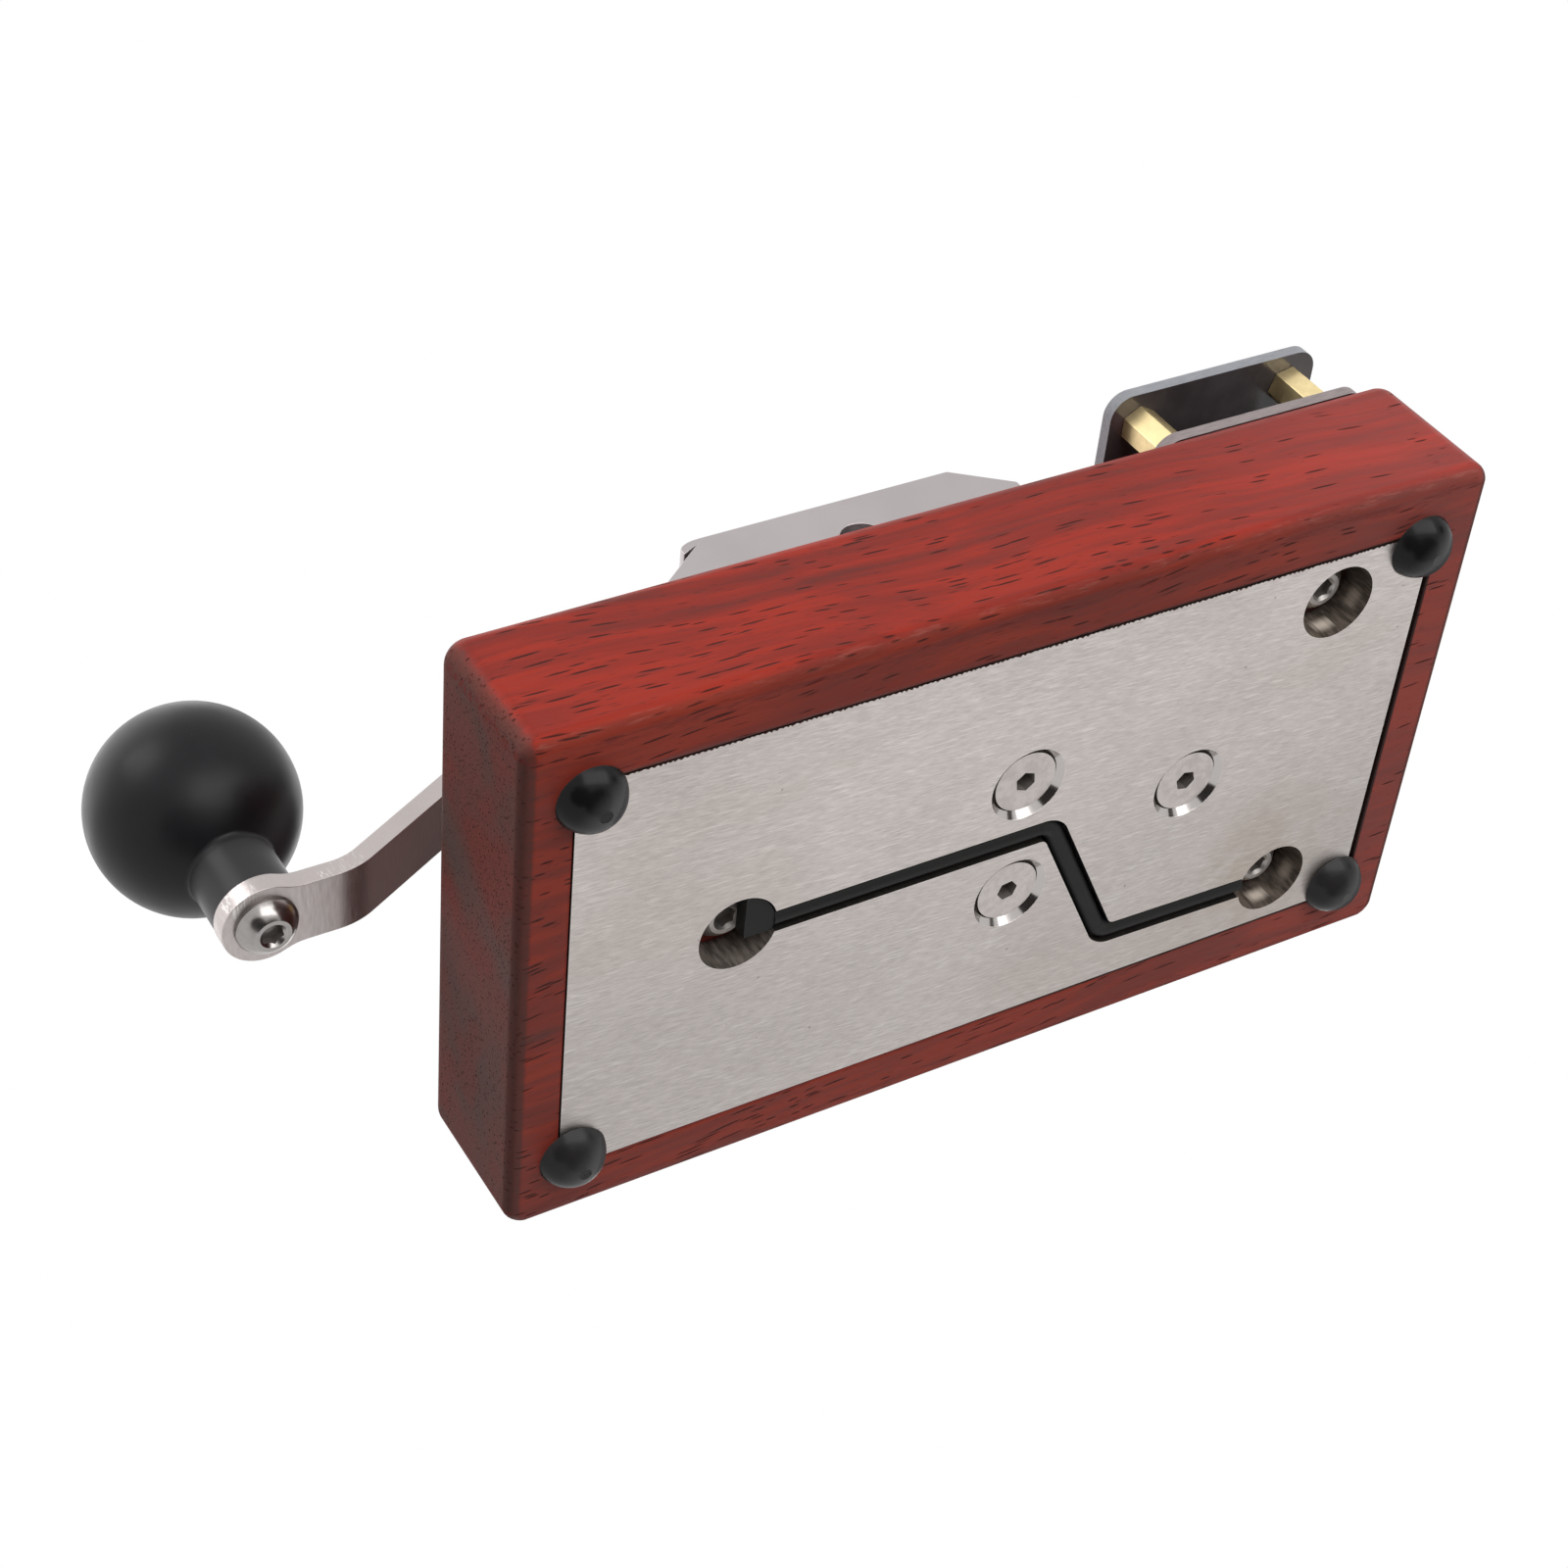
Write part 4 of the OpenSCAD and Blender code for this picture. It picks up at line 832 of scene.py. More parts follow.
@dataclass(frozen=True)
class PolishedSteel:
    """Turned or drawn metal, polished, with faint lathe marks and painted shade in its sockets and hollows.
    """

    name: str
    colour: Colour = (0.66, 0.635, 0.61)
    rough: float = 0.17
    axis: Triple = ZERO
    pitch_mm: float = 0.11
    worn: Colour = (0.84, 0.82, 0.80)
    recess_shade_amount: float = 0.85
    recess_shade: Colour = (0.150, 0.128, 0.115)

    def paint(self, effects: Effects) -> bpy.types.Material:
        """Builds the material.

        Args:
            effects: The shared effects.

        Returns:
            The material.
        """
        work = Paint(self.name)
        nodes = work.nodes
        lines = effects.turning.use(nodes, Axis=self.axis, Pitch=self.pitch_mm)["Lines"]
        smear = nodes.noise(nodes.place_mm(), 0.9, *LAYERED)
        colour = nodes.mottle(smear, self.colour, 0.90)
        colour = effects.edges.lay(nodes, colour, self.worn, 0.5, Reach=0.00012, Ragged=0.3)
        # Painted shade: the enclosed places are darkened and made less metallic.
        recess_shade = effects.occlusion_shade.use(nodes, Reach=0.0026, Open=0.72, Deep=0.30)["Mask"] * self.recess_shade_amount
        rough = nodes.step(smear, *MIDDLE, self.rough - 0.03, self.rough + 0.05) + lines * 0.05 + recess_shade * 0.5
        return work.set(
            Base_Color=nodes.mix(recess_shade, colour, self.recess_shade), Metallic=1.0 - recess_shade * 0.9, Roughness=rough,
            Normal=nodes.bump(lines, 0.18, 0.006),
        )


@dataclass(frozen=True)
class ThreadedSteel:
    """Knurled and turned steel with a thread on its shank, and painted shade in the thread's troughs."""

    name: str
    axis: Triple
    pitch_mm: float
    thread_r_mm: float
    colour: Colour = (0.60, 0.58, 0.56)
    groove_shade: Colour = (0.12, 0.11, 0.10)
    worn: Colour = (0.82, 0.80, 0.78)

    def paint(self, effects: Effects) -> bpy.types.Material:
        """Builds the material.

        Args:
            effects: The shared effects.

        Returns:
            The material.
        """
        work = Paint(self.name)
        nodes = work.nodes
        thread = effects.thread.use(nodes, Axis=self.axis, Pitch=self.pitch_mm, Radius=self.thread_r_mm)
        turned = effects.turning.use(nodes, Axis=self.axis, Pitch=0.16)["Lines"]
        colour = nodes.mottle(nodes.noise(nodes.place_mm(), 0.7, *LAYERED), self.colour, 0.88)
        # Painted shade: the thread's troughs are darkened.
        groove_shade = thread["Mask"] * nodes.step(thread["Height"], 0.5, 0.1, 0.0, 0.6)
        colour = nodes.mix(groove_shade, colour, self.groove_shade)
        colour = effects.edges.lay(nodes, colour, self.worn, 0.6, Reach=0.00018, Ragged=0.3)
        bump = nodes.bump(thread["Height"] * thread["Mask"] * 20.0 + turned, 0.4, 0.012)
        rough = nodes.step(turned, *MIDDLE, 0.24, 0.34)
        return work.set(Base_Color=colour, Metallic=1.0, Roughness=rough, Normal=bump)


@dataclass(frozen=True)
class BlastedAluminium:
    """Machined aluminium, fine blasted and clear anodised."""

    colour: Colour = (0.470, 0.430, 0.434)
    rough: float = 0.42
    worn: Colour = (0.70, 0.69, 0.69)

    def paint(self, effects: Effects) -> bpy.types.Material:
        """Builds the material.

        Args:
            effects: The shared effects.

        Returns:
            The material.
        """
        work = Paint("blasted_aluminium")
        nodes = work.nodes
        sand = nodes.noise(nodes.place_mm(), 9.0, 2.0, 0.6)
        patches = nodes.noise(nodes.place_mm(), 0.12, 3.0)
        shade = nodes.step(sand, *MIDDLE, 0.955, 1.02) * nodes.step(patches, *MIDDLE, 0.97, 1.02)
        colour = nodes.shade(self.colour, shade)
        colour = effects.edges.lay(nodes, colour, self.worn, 0.5, Reach=0.00025, Ragged=0.4)
        rough = nodes.step(patches, *MIDDLE, self.rough - 0.03, self.rough + 0.04)
        return work.set(Base_Color=colour, Metallic=1.0, Roughness=rough, Normal=nodes.bump(sand, 0.3, 0.012))


@dataclass(frozen=True)
class SatinBlack:
    """Black plastic, rubber or insulation: satin, with a fine skin, a little dust and rubbed edges; where
    asked, painted light along one axis and a painted reflection on faces turned one way.
    """

    name: str
    colour: Colour
    rough: float
    skin_mm: float = 0.35
    skin_depth_mm: float = 0.008
    dust_share: float = 0.25
    shine: float = 0.35
    painted_light_amount: float = 0.0
    painted_light_axis: int = 0
    painted_light_span_mm: Pair = (15.0, -15.0)
    reflection_toward: Triple | None = None
    lean: Triple | None = None
    dust: Colour = (0.42, 0.40, 0.38)
    rubbed: Colour = (0.10, 0.10, 0.10)
    painted_light_colour: Colour = (0.20, 0.19, 0.19)
    pale: Colour = (0.095, 0.093, 0.096)

    def paint(self, effects: Effects) -> bpy.types.Material:
        """Builds the material.

        Args:
            effects: The shared effects.

        Returns:
            The material.
        """
        work = Paint(self.name)
        nodes = work.nodes
        skin = nodes.noise(nodes.place_mm(), 1 / self.skin_mm)
        smear = nodes.noise(nodes.place_mm(), 0.16, *LAYERED)
        colour = nodes.mottle(smear, self.colour, 1.35)
        dust = {"Spacing": 1.4, "Size": 0.045, "Share": self.dust_share}
        colour = effects.specks.lay(nodes, colour, self.dust, 0.10, **dust)
        colour = effects.edges.lay(nodes, colour, self.rubbed, 0.25, Reach=0.0003, Ragged=0.5)
        # Painted light: lighter along one axis, from one place to another.
        if self.painted_light_amount:
            along = nodes.axes(nodes.place_mm())[self.painted_light_axis]
            colour = nodes.mix(nodes.step(along, *self.painted_light_span_mm, 0.0, self.painted_light_amount), colour, self.painted_light_colour)
        # Painted reflection: faces turned one way are paler.
        if self.reflection_toward:
            facing = nodes.vector("DOT_PRODUCT", nodes.normal(), self.reflection_toward)
            colour = nodes.mix(nodes.step(facing, 0.25, 0.85), colour, self.pale)
        rough = nodes.step(smear, *MIDDLE, self.rough - 0.03, self.rough + 0.04)
        base = nodes.vector("NORMALIZE", nodes.normal() + self.lean) if self.lean else None
        return work.set(
            Base_Color=colour, Roughness=rough, Specular_IOR_Level=self.shine,
            Normal=nodes.bump(skin, 0.25, self.skin_depth_mm, base),
        )


@dataclass(frozen=True)
class LacqueredBoard:
    """Circuit board: glossy black faces and frosted grey edges."""

    name: str
    face: Colour = (0.056, 0.047, 0.050)
    cut: Colour = (0.445, 0.455, 0.49)
    dust: Colour = (0.5, 0.5, 0.5)

    def paint(self, effects: Effects) -> bpy.types.Material:
        """Builds the material.

        Args:
            effects: The shared effects.

        Returns:
            The material.
        """
        work = Paint(self.name)
        nodes = work.nodes
        side = nodes.step(abs(nodes.axes(nodes.normal())[2]), 0.75, 0.45)
        weave = nodes.noise(nodes.place_mm((2.6, 0.5, 9.0)), 1.0, *LAYERED)
        cut = nodes.mottle(weave, self.cut, 0.72)
        smear = nodes.noise(nodes.place_mm(), 0.10, 4.0, 0.6)
        face = nodes.mix(nodes.step(smear, 0.4, 0.7), self.face, shaded(self.face, 1.4))
        colour = nodes.mix(side, face, cut)
        colour = effects.specks.lay(nodes, colour, self.dust, 0.12, Spacing=2.0, Size=0.04, Share=0.3)
        rough = nodes.step(smear, *MIDDLE, 0.14, 0.22) + side * 0.36
        bump = nodes.bump(weave, 0.08, 0.02)
        return work.set(Base_Color=colour, Roughness=rough, Normal=bump, Specular_IOR_Level=0.4)


@dataclass(frozen=True)
class CornerRounding:
    """Fuller rounds on the upright edges and the corners of a block, cut with modifiers alone."""

    centre_mm: Triple
    half_mm: Triple
    low_r_mm: float
    top_r_mm: float = 2.6
    upright_r_mm: float = 3.0
    spare_mm: float = 0.03
    steps: int = 10

    def apply(self, piece: bpy.types.Object) -> None:
        """Adds the modifiers.

        Args:
            piece: The CAD node.
        """
        piece.modifiers.new("weld", "WELD").merge_threshold = WELD_MM * MM
        cut = piece.modifiers.new("corners", "BOOLEAN")
        cut.operation = "INTERSECT"
        cut.solver = "EXACT"
        cut.object = self._form()

    def _form(self) -> bpy.types.Object:
        """Makes the block that the piece is cut to, a touch larger but at its corners.

        Returns:
            The block, in no scene.
        """
        half_x, half_y, half_z = (half + self.spare_mm for half in self.half_mm)
        turn = math.pi / 2 / self.steps
        low_r, top_r = self.low_r_mm, self.top_r_mm
        rounds = [(1 - math.sin(turn * i), 1 - math.cos(turn * i)) for i in range(self.steps + 1)]
        profile = [(low_r * inset, -half_z + low_r * rise) for inset, rise in rounds]
        profile += [(top_r * inset, half_z - top_r * rise) for inset, rise in reversed(rounds)]
        points: list[Triple] = []
        for inset, height in profile:
            reach = self.upright_r_mm - inset
            for quarter, (side_x, side_y) in enumerate(((1, 1), (-1, 1), (-1, -1), (1, -1))):
                for i in range(self.steps + 1):
                    angle = quarter * math.pi / 2 + turn * i
                    place = (
                        side_x * (half_x - self.upright_r_mm) + reach * math.cos(angle),
                        side_y * (half_y - self.upright_r_mm) + reach * math.sin(angle),
                        height,
                    )
                    points.append(tuple((p + c) * MM for p, c in zip(place, self.centre_mm)))
        ring = 4 * (self.steps + 1)
        faces: list[tuple[int, ...]] = [tuple(reversed(range(ring)))]
        for low in range(0, (len(profile) - 1) * ring, ring):
            high = low + ring
            for i in range(ring):
                after = (i + 1) % ring
                faces.append((low + i, low + after, high + after, high + i))
        faces.append(tuple(range((len(profile) - 1) * ring, len(profile) * ring)))
        mesh = bpy.data.meshes.new("rounded_block")
        mesh.from_pydata(points, [], faces)
        return bpy.data.objects.new("rounded_block", mesh)


@dataclass(frozen=True)
class EdgeRounding:
    """A small round on the edges of a machined piece, made with modifiers alone."""

    width_mm: float = 0.12
    steps: int = 2
    angle: float = math.radians(32)
    flat_angle: float = math.radians(0.6)
    face_weight: int = 90

    def apply(self, piece: bpy.types.Object) -> None:
        """Adds the modifiers.

        Args:
            piece: The CAD node.
        """
        piece.modifiers.new("weld", "WELD").merge_threshold = WELD_MM * MM
        flat = piece.modifiers.new("flat", "DECIMATE")
        flat.decimate_type = "DISSOLVE"
        flat.angle_limit = self.flat_angle
        edge = piece.modifiers.new("edge", "BEVEL")
        edge.width = self.width_mm * MM
        edge.segments = self.steps
        edge.limit_method = "ANGLE"
        edge.angle_limit = self.angle
        edge.use_clamp_overlap = True
        normal = piece.modifiers.new("normal", "WEIGHTED_NORMAL")
        normal.keep_sharp = False
        normal.weight = self.face_weight


class Workshop:
    """Holds the frame and the finished materials, and dresses CAD nodes."""

    def __init__(self, frame: dict[str, object]) -> None:
        """Keeps the CAD nodes, and builds the shared effects.
        """
        self.nodes: dict[str, bpy.types.Object] = frame["nodes"]
        self.effects = Effects()
        self.done: dict[Finish, bpy.types.Material] = {}

    def material(self, finish: Finish) -> bpy.types.Material:
        """Gives the material of a finish, built at its first use.

        Args:
            finish: The finish.

        Returns:
            Its material.
        """
        if finish not in self.done:
            self.done[finish] = finish.paint(self.effects)
        return self.done[finish]

    def dress(self, names: Sequence[str], finish: Finish, rounding: EdgeRounding | None = None) -> None:
        """Gives CAD nodes a finish and, where wanted, rounded edges.

        Args:
            names: The nodes.
            finish: Their finish.
            rounding: Their edges.
        """
        for name in names:
            piece = self.nodes[name]
            piece.data.materials.clear()
            piece.data.materials.append(self.material(finish))
            if rounding:
                rounding.apply(piece)
            log.info("dressed %s", name)


SCREW_STEEL = PolishedSteel("screw_steel")
TURNED_BRASS = PolishedSteel("turned_brass", (0.80, 0.58, 0.26), 0.24)
DULL_TIN = PolishedSteel("dull_tin", (0.66, 0.65, 0.62), 0.32)


@dataclass(frozen=True)
class Base:
    """Wood base, brushed plate and rubber feet."""

    brush_turn: float = math.radians(-3.0)

    def dress(self, shop: Workshop) -> None:
        """Dresses the pieces of the base.

        Args:
            shop: The workshop.
        """
        wood = OiledHardwood()
        CornerRounding(wood.centre_mm, wood.half_mm, wood.edge_r_mm).apply(shop.nodes["wood_base"])
        shop.dress(["wood_base"], wood, EdgeRounding(0.15))
        turn = (0.0, 0.0, self.brush_turn)
        metal = BrushedSteel("plate_steel", (0.525, 0.48, 0.46), turn, (9.5, 0.62, 9.5), contrast=1.3)
        shop.dress(["base_plate"], PlateSteel(metal))
        # Painted light on the feet: lighter toward -x, and a painted reflection on faces turned down toward
        # -x and +y.
        rubber = SatinBlack(
            "foot_rubber", (0.0110, 0.0100, 0.0102), 0.23, 0.5, 0.004, 0.3, 0.155, painted_light_amount=0.10,
            reflection_toward=(-0.45, 0.45, -0.77), lean=(0.0, 0.0, -0.26),
        )
        shop.dress(["rubber_feet"], rubber)


@dataclass(frozen=True)
class Bearings:
    """Housing with its screws, the two ball bearings and the axle."""

    turning: tuple[str, ...] = (
        "bearing_outer_rings", "bearing_inner_rings", "bearing_balls", "pivot_axle", "axle_shims",
    )

    def dress(self, shop: Workshop) -> None:
        """Dresses the housing and what turns in it.

        Args:
            shop: The workshop.
        """
        shop.dress(["bearing_housing"], BlastedAluminium(), EdgeRounding(0.25))
        faced = PolishedSteel("faced_steel", (0.52, 0.475, 0.455), 0.26, worn=(0.86, 0.83, 0.80), recess_shade_amount=1.0)
        shop.dress(["housing_screws"], faced)
        shop.dress(["block_screws", "axle_set_screw"], SCREW_STEEL)
        shop.dress(self.turning, PolishedSteel("bearing_steel", (0.82, 0.82, 0.83), 0.45, recess_shade_amount=0.05))
        block = BrushedSteel("block_steel", stretch=(5.0, 0.5, 5.0), rough=0.30)
        shop.dress(["pivot_block"], block, EdgeRounding(0.15))


@dataclass(frozen=True)
class Lever:
    """Bent lever with its contact and spring pin."""

    brush_turn: float = math.radians(90)
    # Painted reflection and shade on the lever's slope: less red.
    painted_slope_shade: Colour = (0.70, 0.97, 1.0)
    marks_mm: tuple[tuple[float, float, float, float, float], ...] = (
        (4.2, -60.9, 28.2, 0.8, 0.7), (4.2, -57.8, 28.1, 3.2, 0.15), (4.6, -71.7, 28.5, 3.2, 0.5),
    )

    def dress(self, shop: Workshop) -> None:
        """Dresses the lever and what is riveted into it.

        Args:
            shop: The workshop.
        """
        steel = BrushedSteel(
            "lever_steel", (0.520, 0.470, 0.457), (0.0, 0.0, self.brush_turn), (5.0, 0.5, 4.0), 0.36, 0.002,
            0.25, self.painted_slope_shade, self.marks_mm,
        )
        shop.dress(["lever_arm"], steel, EdgeRounding(0.18))
        silver = PolishedSteel("contact_silver", (0.84, 0.83, 0.80), 0.16)
        shop.dress(["lever_contact", "post_contact"], silver)
        shop.dress(["spring_pin"], SCREW_STEEL)


@dataclass(frozen=True)
class Knob:
    """Ball knob, its insert and its screw."""

    y_mm: float = -68.25
    neck_mm: Pair = (37.6, 36.2)

    def dress(self, shop: Workshop) -> None:
        """Dresses the knob.

        Args:
            shop: The workshop.
        """
        # Painted light: the knob's neck is made lighter.
        plastic = SatinBlack(
            "knob_plastic", (0.0078, 0.0076, 0.0092), 0.37, 0.5, 0.006, 0.12, 0.22, painted_light_amount=0.19, painted_light_axis=2,
            painted_light_span_mm=self.neck_mm,
        )
        shop.dress(["knob"], plastic)
        shop.dress(["knob_insert"], TURNED_BRASS)
        axis = (0.0, self.y_mm, 0.0)
        screw = PolishedSteel("knob_screw_steel", (0.34, 0.32, 0.31), 0.19, axis, recess_shade_amount=1.0)
        shop.dress(["knob_screw"], screw)


@dataclass(frozen=True)
class Contacts:
    """Contact post, its screw, and the wire in the plate."""

    wire: Colour = (0.0095, 0.0092, 0.0088)

    def dress(self, shop: Workshop) -> None:
        """Dresses the post and the wiring.

        Args:
            shop: The workshop.
        """
        shop.dress(["contact_post"], TURNED_BRASS, EdgeRounding(0.2))
        satin = PolishedSteel("satin_steel", (0.38, 0.355, 0.335), 0.40, recess_shade_amount=1.0)
        shop.dress(["post_screw", "terminal_screws"], satin)
        shop.dress(["ring_terminals"], DULL_TIN)
        shop.dress(["frame_strap"], PolishedSteel("strap_brass", (0.78, 0.57, 0.27), 0.30))
        insulation = SatinBlack("wire_insulation", self.wire, 0.60, 0.4, 0.012, 0.5, 0.28)
        shop.dress(["keying_wire", "wire_sleeve"], insulation)


@dataclass(frozen=True)
class Adjusters:
    """Travel and tension screws with their lock rings."""

    travel_y_mm: float = 7.55
    tension_y_mm: float = 32.55

    def dress(self, shop: Workshop) -> None:
        """Dresses the two adjusting screws.

        Args:
            shop: The workshop.
        """
        travel = ThreadedSteel("travel_steel", (0.0, self.travel_y_mm, 0.0), 0.8, 2.6)
        tension = ThreadedSteel("tension_steel", (0.0, self.tension_y_mm, 0.0), 0.75, 3.1)
        shop.dress(["travel_screw", "travel_lock_ring"], travel, EdgeRounding(0.06, 1))
        shop.dress(["tension_screw", "tension_lock_ring"], tension, EdgeRounding(0.06, 1))


@dataclass(frozen=True)
class CoilSpring:
    """Return spring: an unbroken coil with closed ends, between the lever's tail and the tension screw."""

    y_mm: float = 32.55
    mean_r_mm: float = 1.7
    wire_d_mm: float = 0.5
    turns: int = 8
    steps_a_turn: int = 36
    bevel_steps: int = 3
    end_share: float = 0.55
    keep: float = 0.98

    def build(self, shop: Workshop) -> bpy.types.Object:
        """Builds the coil in place of the CAD spring.

        Args:
            shop: The workshop.

        Returns:
            The spring.
        """
        low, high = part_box("return_spring")
        wire_r = self.wire_d_mm * MM / 2
        bottom, top = low.z + wire_r, high.z - wire_r
        curve = bpy.data.curves.new("return_coil", "CURVE")
        curve.dimensions = "3D"
        curve.bevel_depth = wire_r
        curve.bevel_resolution = self.bevel_steps
        curve.use_fill_caps = True
        count = self.turns * self.steps_a_turn
        line = curve.splines.new("POLY")
        line.points.add(count)
        for i, point in enumerate(line.points):
            angle = 2 * math.pi * i / self.steps_a_turn
            point.co = (
                self.mean_r_mm * MM * math.cos(angle),
                self.y_mm * MM + self.mean_r_mm * MM * math.sin(angle),
                bottom + (top - bottom) * self._rise(i / count),
                1.0,
            )
        made = linked("return_coil_curve", curve)
        mesh = bpy.data.meshes.new_from_object(made.evaluated_get(bpy.context.evaluated_depsgraph_get()))
        bpy.data.objects.remove(made)
        coil = linked("return_coil", mesh)
        for face in mesh.polygons:
            face.use_smooth = True
        mesh.materials.clear()
        mesh.materials.append(shop.material(PolishedSteel("spring_wire", (0.56, 0.55, 0.55), 0.26)))
        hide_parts("return_spring")
        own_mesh(coil)
        log.info("built return_coil")
        return coil

    def _rise(self, share: float) -> float:
        """How high the wire has climbed, with flatter turns at both ends.

        Args:
            share: The share of the wire's length.

        Returns:
            The share of the height.
        """
        closed = 1 / self.turns
        flat = closed * self.end_share
        if share < closed:
            return flat * share / closed
        if share > 1 - closed:
            return 1 - flat * (1 - share) / closed
        return flat + (1 - 2 * flat) * (share - closed) / (1 - 2 * closed)


@dataclass(frozen=True)
class TerminalBox:
    """Two circuit boards on hex standoffs, with the terminals and the jack between them."""

    fixings: tuple[str, ...] = (
        "lower_board_screws", "upper_board_screws", "terminal_washers", "terminal_nuts",
    )

    def dress(self, shop: Workshop) -> None:
        """Dresses the boards and what stands between them.

        Args:
            shop: The workshop.
        """
        shop.dress(["lower_board"], LacqueredBoard("lower_laminate", cut=(0.43, 0.365, 0.365)))
        shop.dress(["upper_board"], LacqueredBoard("upper_laminate"))
        brass = PolishedSteel("drawn_brass", (0.93, 0.755, 0.41), 0.34, worn=(0.96, 0.84, 0.56), recess_shade_amount=0.35)
        shop.dress(["board_standoffs"], brass, EdgeRounding(0.08, 1))
        shop.dress(self.fixings, SCREW_STEEL)
        shop.dress(["jack_body"], SatinBlack("jack_plastic", (0.014, 0.014, 0.015), 0.38), EdgeRounding(0.2))
        shop.dress(["jack_bushing"], PolishedSteel("jack_nickel", (0.68, 0.65, 0.60), 0.16))
        shop.dress(["jack_springs"], DULL_TIN)


def linked(name: str, data: bpy.types.ID) -> bpy.types.Object:
    """Makes an object in the scene.

    Args:
        name: Its name.
        data: Its mesh, curve, light or camera.

    Returns:
        The object.
    """
    thing = bpy.data.objects.new(name, data)
    bpy.context.scene.collection.objects.link(thing)
    return thing


@dataclass(frozen=True)
class Lamp:
    """A soft lamp that points at the key."""

    name: str
    place: Triple
    size: Pair
    power: float

    def build(self, aim: Vector) -> None:
        """Builds the lamp.

        Args:
            aim: The point that it faces.
        """
        light = bpy.data.lights.new(self.name, "AREA")
        light.shape = "RECTANGLE"
        light.size, light.size_y = self.size
        light.energy = self.power
        lamp = linked(self.name, light)
        lamp.location = self.place
        lamp.rotation_euler = (aim - Vector(self.place)).to_track_quat("-Z", "Y").to_euler()


@dataclass(frozen=True)
class Card:
    """A round dark card that only shiny surfaces show."""

    name: str
    toward: Triple
    spread: float
    colour: Colour
    distance: float = 0.9
    sides: int = 40

    def build(self, aim: Vector) -> None:
        """Hangs the card.

        Args:
            aim: The point that it faces.
        """
        place = aim + Vector(self.toward).normalized() * self.distance
        radius = self.distance * math.tan(math.radians(self.spread))
        angles = [2 * math.pi * i / self.sides for i in range(self.sides)]
        rim = [(radius * math.cos(angle), radius * math.sin(angle), 0.0) for angle in angles]
        mesh = bpy.data.meshes.new(self.name)
        mesh.from_pydata(rim, [], [tuple(range(self.sides))])
        card = linked(self.name, mesh)
        card.location = place
        card.rotation_euler = (aim - place).to_track_quat("Z", "Y").to_euler()
        for kind in ("camera", "diffuse", "shadow", "transmission"):
            setattr(card, f"visible_{kind}", False)
        work = Paint(self.name)
        tone = work.nodes.noise(work.nodes.place_mm(), 0.02)
        colour = work.nodes.mix(tone, self.colour, shaded(self.colour, 1.3))
        mesh.materials.append(work.set(Base_Color=colour, Roughness=0.95))


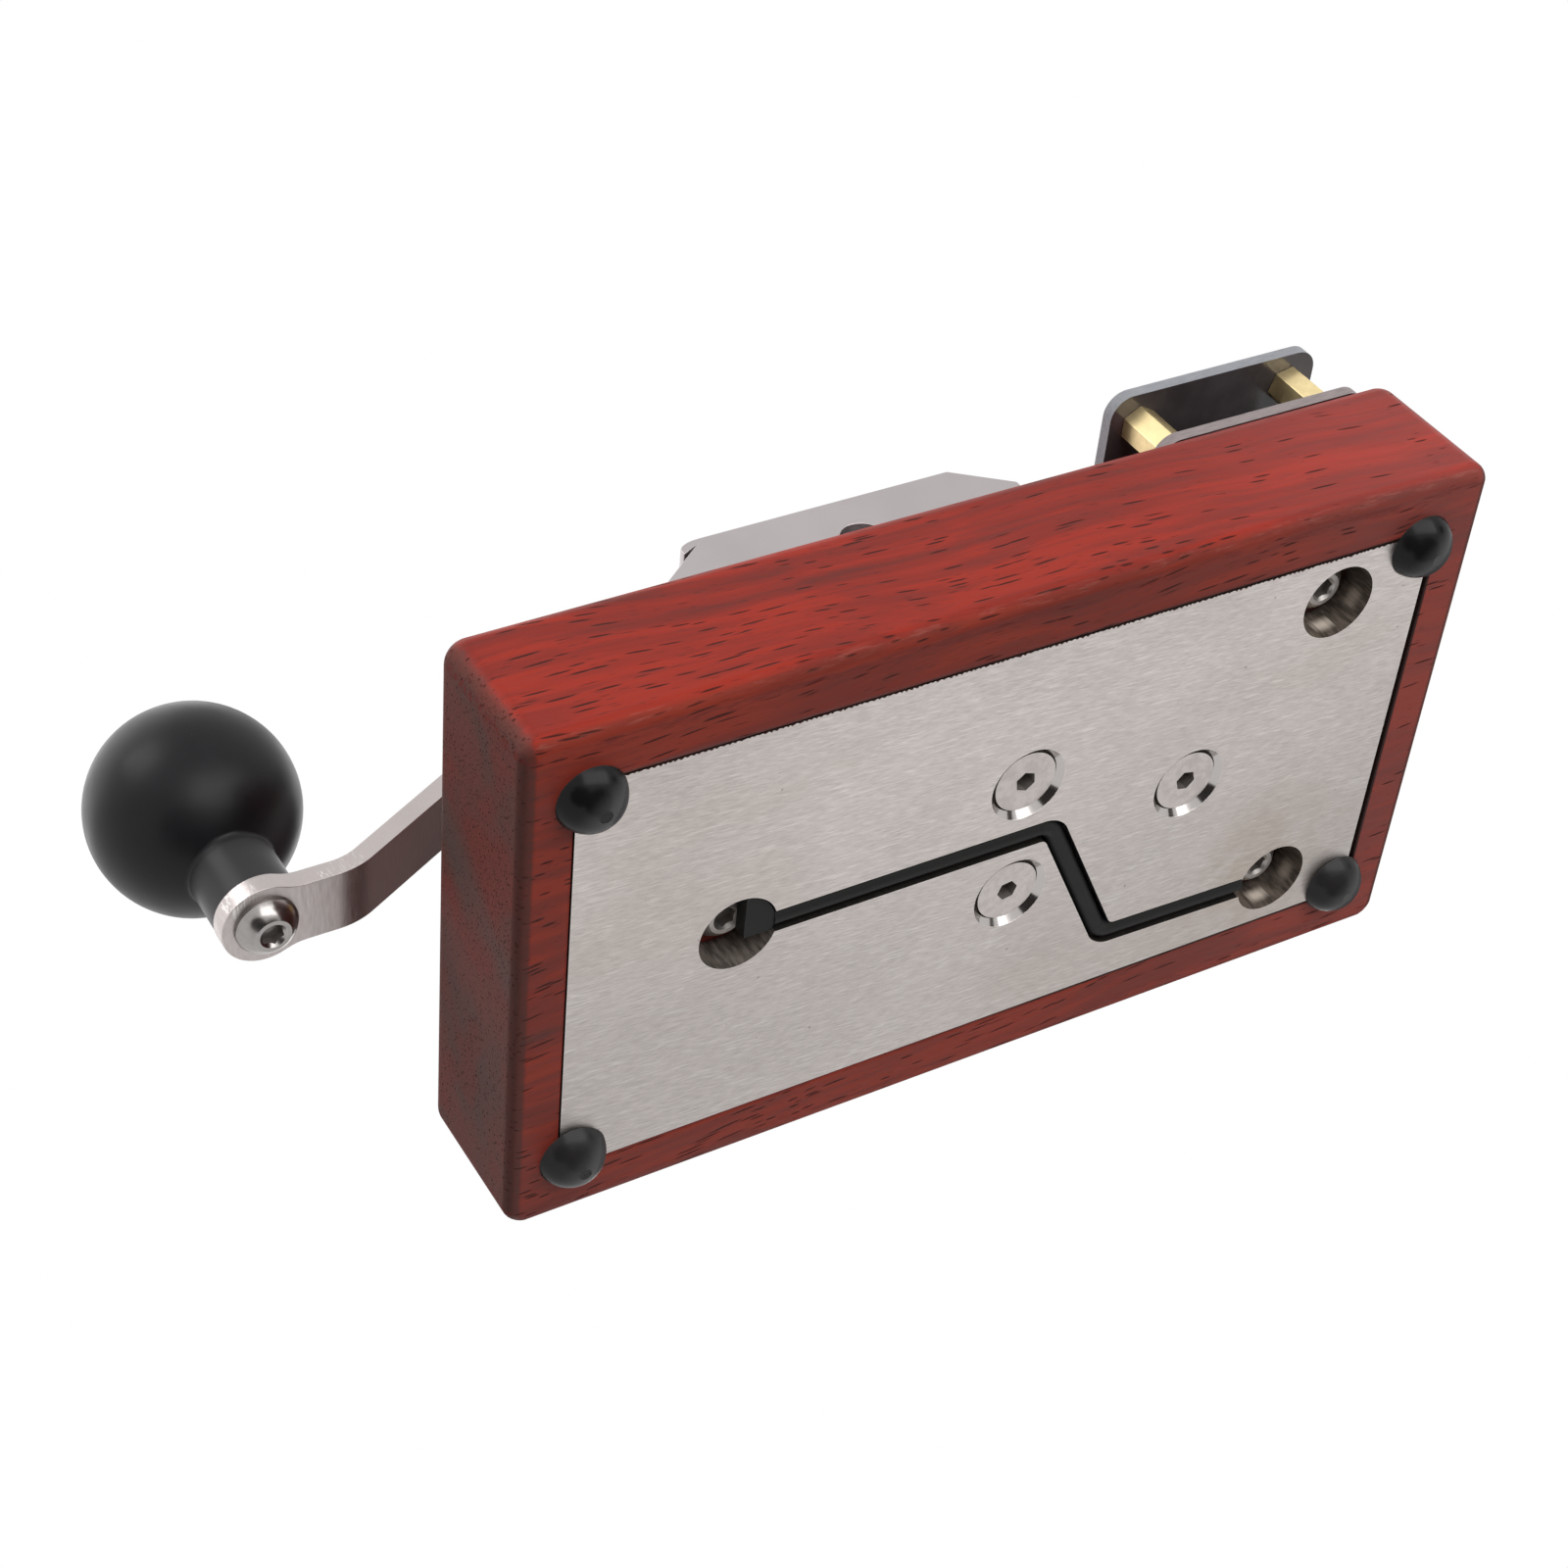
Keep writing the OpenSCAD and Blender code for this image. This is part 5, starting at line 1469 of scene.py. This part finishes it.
@dataclass(frozen=True)
class Studio:
    """Pale floor, white background, soft lamps, dark cards and the camera."""

    camera_place: Triple = (0.237711, -0.161758, -0.211535)
    camera_rows: tuple[Triple, ...] = (
        (0.081151, 0.762793, 0.641531),
        (0.862347, 0.26901, -0.428941),
        (-0.499772, 0.588032, -0.635962),
    )
    lens_mm: float = 70.593
    sensor_mm: float = 36.0
    near_clip: float = 0.01
    aim: Triple = (0.0, 0.0, 0.025)
    floor_half: float = 1.6
    floor: tuple[Colour, Colour] = ((0.86, 0.86, 0.86), (0.88, 0.88, 0.88))
    ambient: float = 0.22
    lamps: tuple[Lamp, ...] = (
        Lamp("front_box", (0.65, -0.54, 0.555), (0.50, 0.50), 2.6),
        Lamp("low_box", (0.80, 0.24, -0.495), (1.15, 0.55), 5.6),
        Lamp("top_lamp", (-0.20, -0.30, 1.30), (1.60, 1.60), 6.0),
        Lamp("rear_fill", (-0.90, 0.80, 0.60), (1.00, 1.00), 2.0),
    )
    cards: tuple[Card, ...] = (
        Card("dark_low", (0.0, 0.1, -0.95), 30.0, (0.09, 0.078, 0.070)),
        Card("dark_front", (0.30, -0.55, -0.78), 23.0, (0.05, 0.045, 0.042)),
        Card("dark_rear", (0.316, 0.855, -0.412), 7.0, (0.11, 0.10, 0.095)),
        Card("dark_side", (-0.64, 0.77, 0.0), 22.0, (0.125, 0.098, 0.092)),
    )

    def build(self) -> None:
        """Builds the whole studio."""
        for thing in (*self.lamps, *self.cards):
            thing.build(Vector(self.aim))
        self._floor()
        self._world()
        self._camera()
        bpy.context.scene.view_settings.view_transform = "Standard"
        log.info("built the studio")

    def _floor(self) -> None:
        """Lays a pale floor that only shows from above."""
        h = self.floor_half
        mesh = bpy.data.meshes.new("floor")
        mesh.from_pydata([(-h, -h, 0.0), (h, -h, 0.0), (h, h, 0.0), (-h, h, 0.0)], [], [(0, 1, 2, 3)])
        work = Paint("pale_floor")
        nodes = work.nodes
        work.set(Base_Color=nodes.mix(nodes.noise(nodes.place_mm(), 0.01), *self.floor), Roughness=0.9)
        camera = nodes.out("LightPath", output="Is Camera Ray")
        shown = camera * (1.0 - nodes.normal("Backfacing"))
        clear = nodes.out("BsdfTransparent")
        both = nodes.out("MixShader", {0: shown, 1: clear, 2: Wire(nodes, work.shader.outputs[0])})
        nodes.feed(nodes.tree.nodes["Material Output"].inputs["Surface"], both)
        mesh.materials.append(work.material)
        floor = linked("floor", mesh)

    def _world(self) -> None:
        """White for the camera and for reflections, soft grey for the rest."""
        world = bpy.data.worlds.new("studio_white")
        world.use_nodes = True
        bpy.context.scene.world = world
        nodes = Sockets(world.node_tree)
        path = nodes.add("LightPath").outputs
        camera, glossy, through = (
            Wire(nodes, path[f"Is {ray} Ray"]) for ray in ("Camera", "Glossy", "Transmission")
        )
        seen = nodes.math("MAXIMUM", nodes.math("MAXIMUM", camera, glossy), through)
        soft = nodes.out("Background", {"Color": ONE, "Strength": self.ambient})
        white = nodes.out("Background", {"Color": ONE, "Strength": 1.0})
        both = nodes.out("MixShader", {0: seen, 1: soft, 2: white})
        nodes.feed(world.node_tree.nodes["World Output"].inputs["Surface"], both)

    def _camera(self) -> None:
        """Sets the camera where the photograph was taken."""
        data = bpy.data.cameras.new("camera")
        data.lens = self.lens_mm
        data.sensor_width = self.sensor_mm
        data.clip_start = self.near_clip
        camera = linked("camera", data)
        camera.matrix_world = Matrix.Translation(self.camera_place) @ Matrix(self.camera_rows).to_4x4()
        bpy.context.scene.camera = camera


def main() -> None:
    """Loads the frame, dresses every piece and sets the studio."""
    logging.basicConfig(level=logging.INFO, format="%(message)s")
    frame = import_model()
    shop = Workshop(frame)
    for part in (Base(), Bearings(), Lever(), Knob(), Contacts(), Adjusters(), TerminalBox()):
        part.dress(shop)
    coil = CoilSpring().build(shop)
    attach(coil, Body.KEY.value)
    Studio().build()


if __name__ == "__main__":
    main()
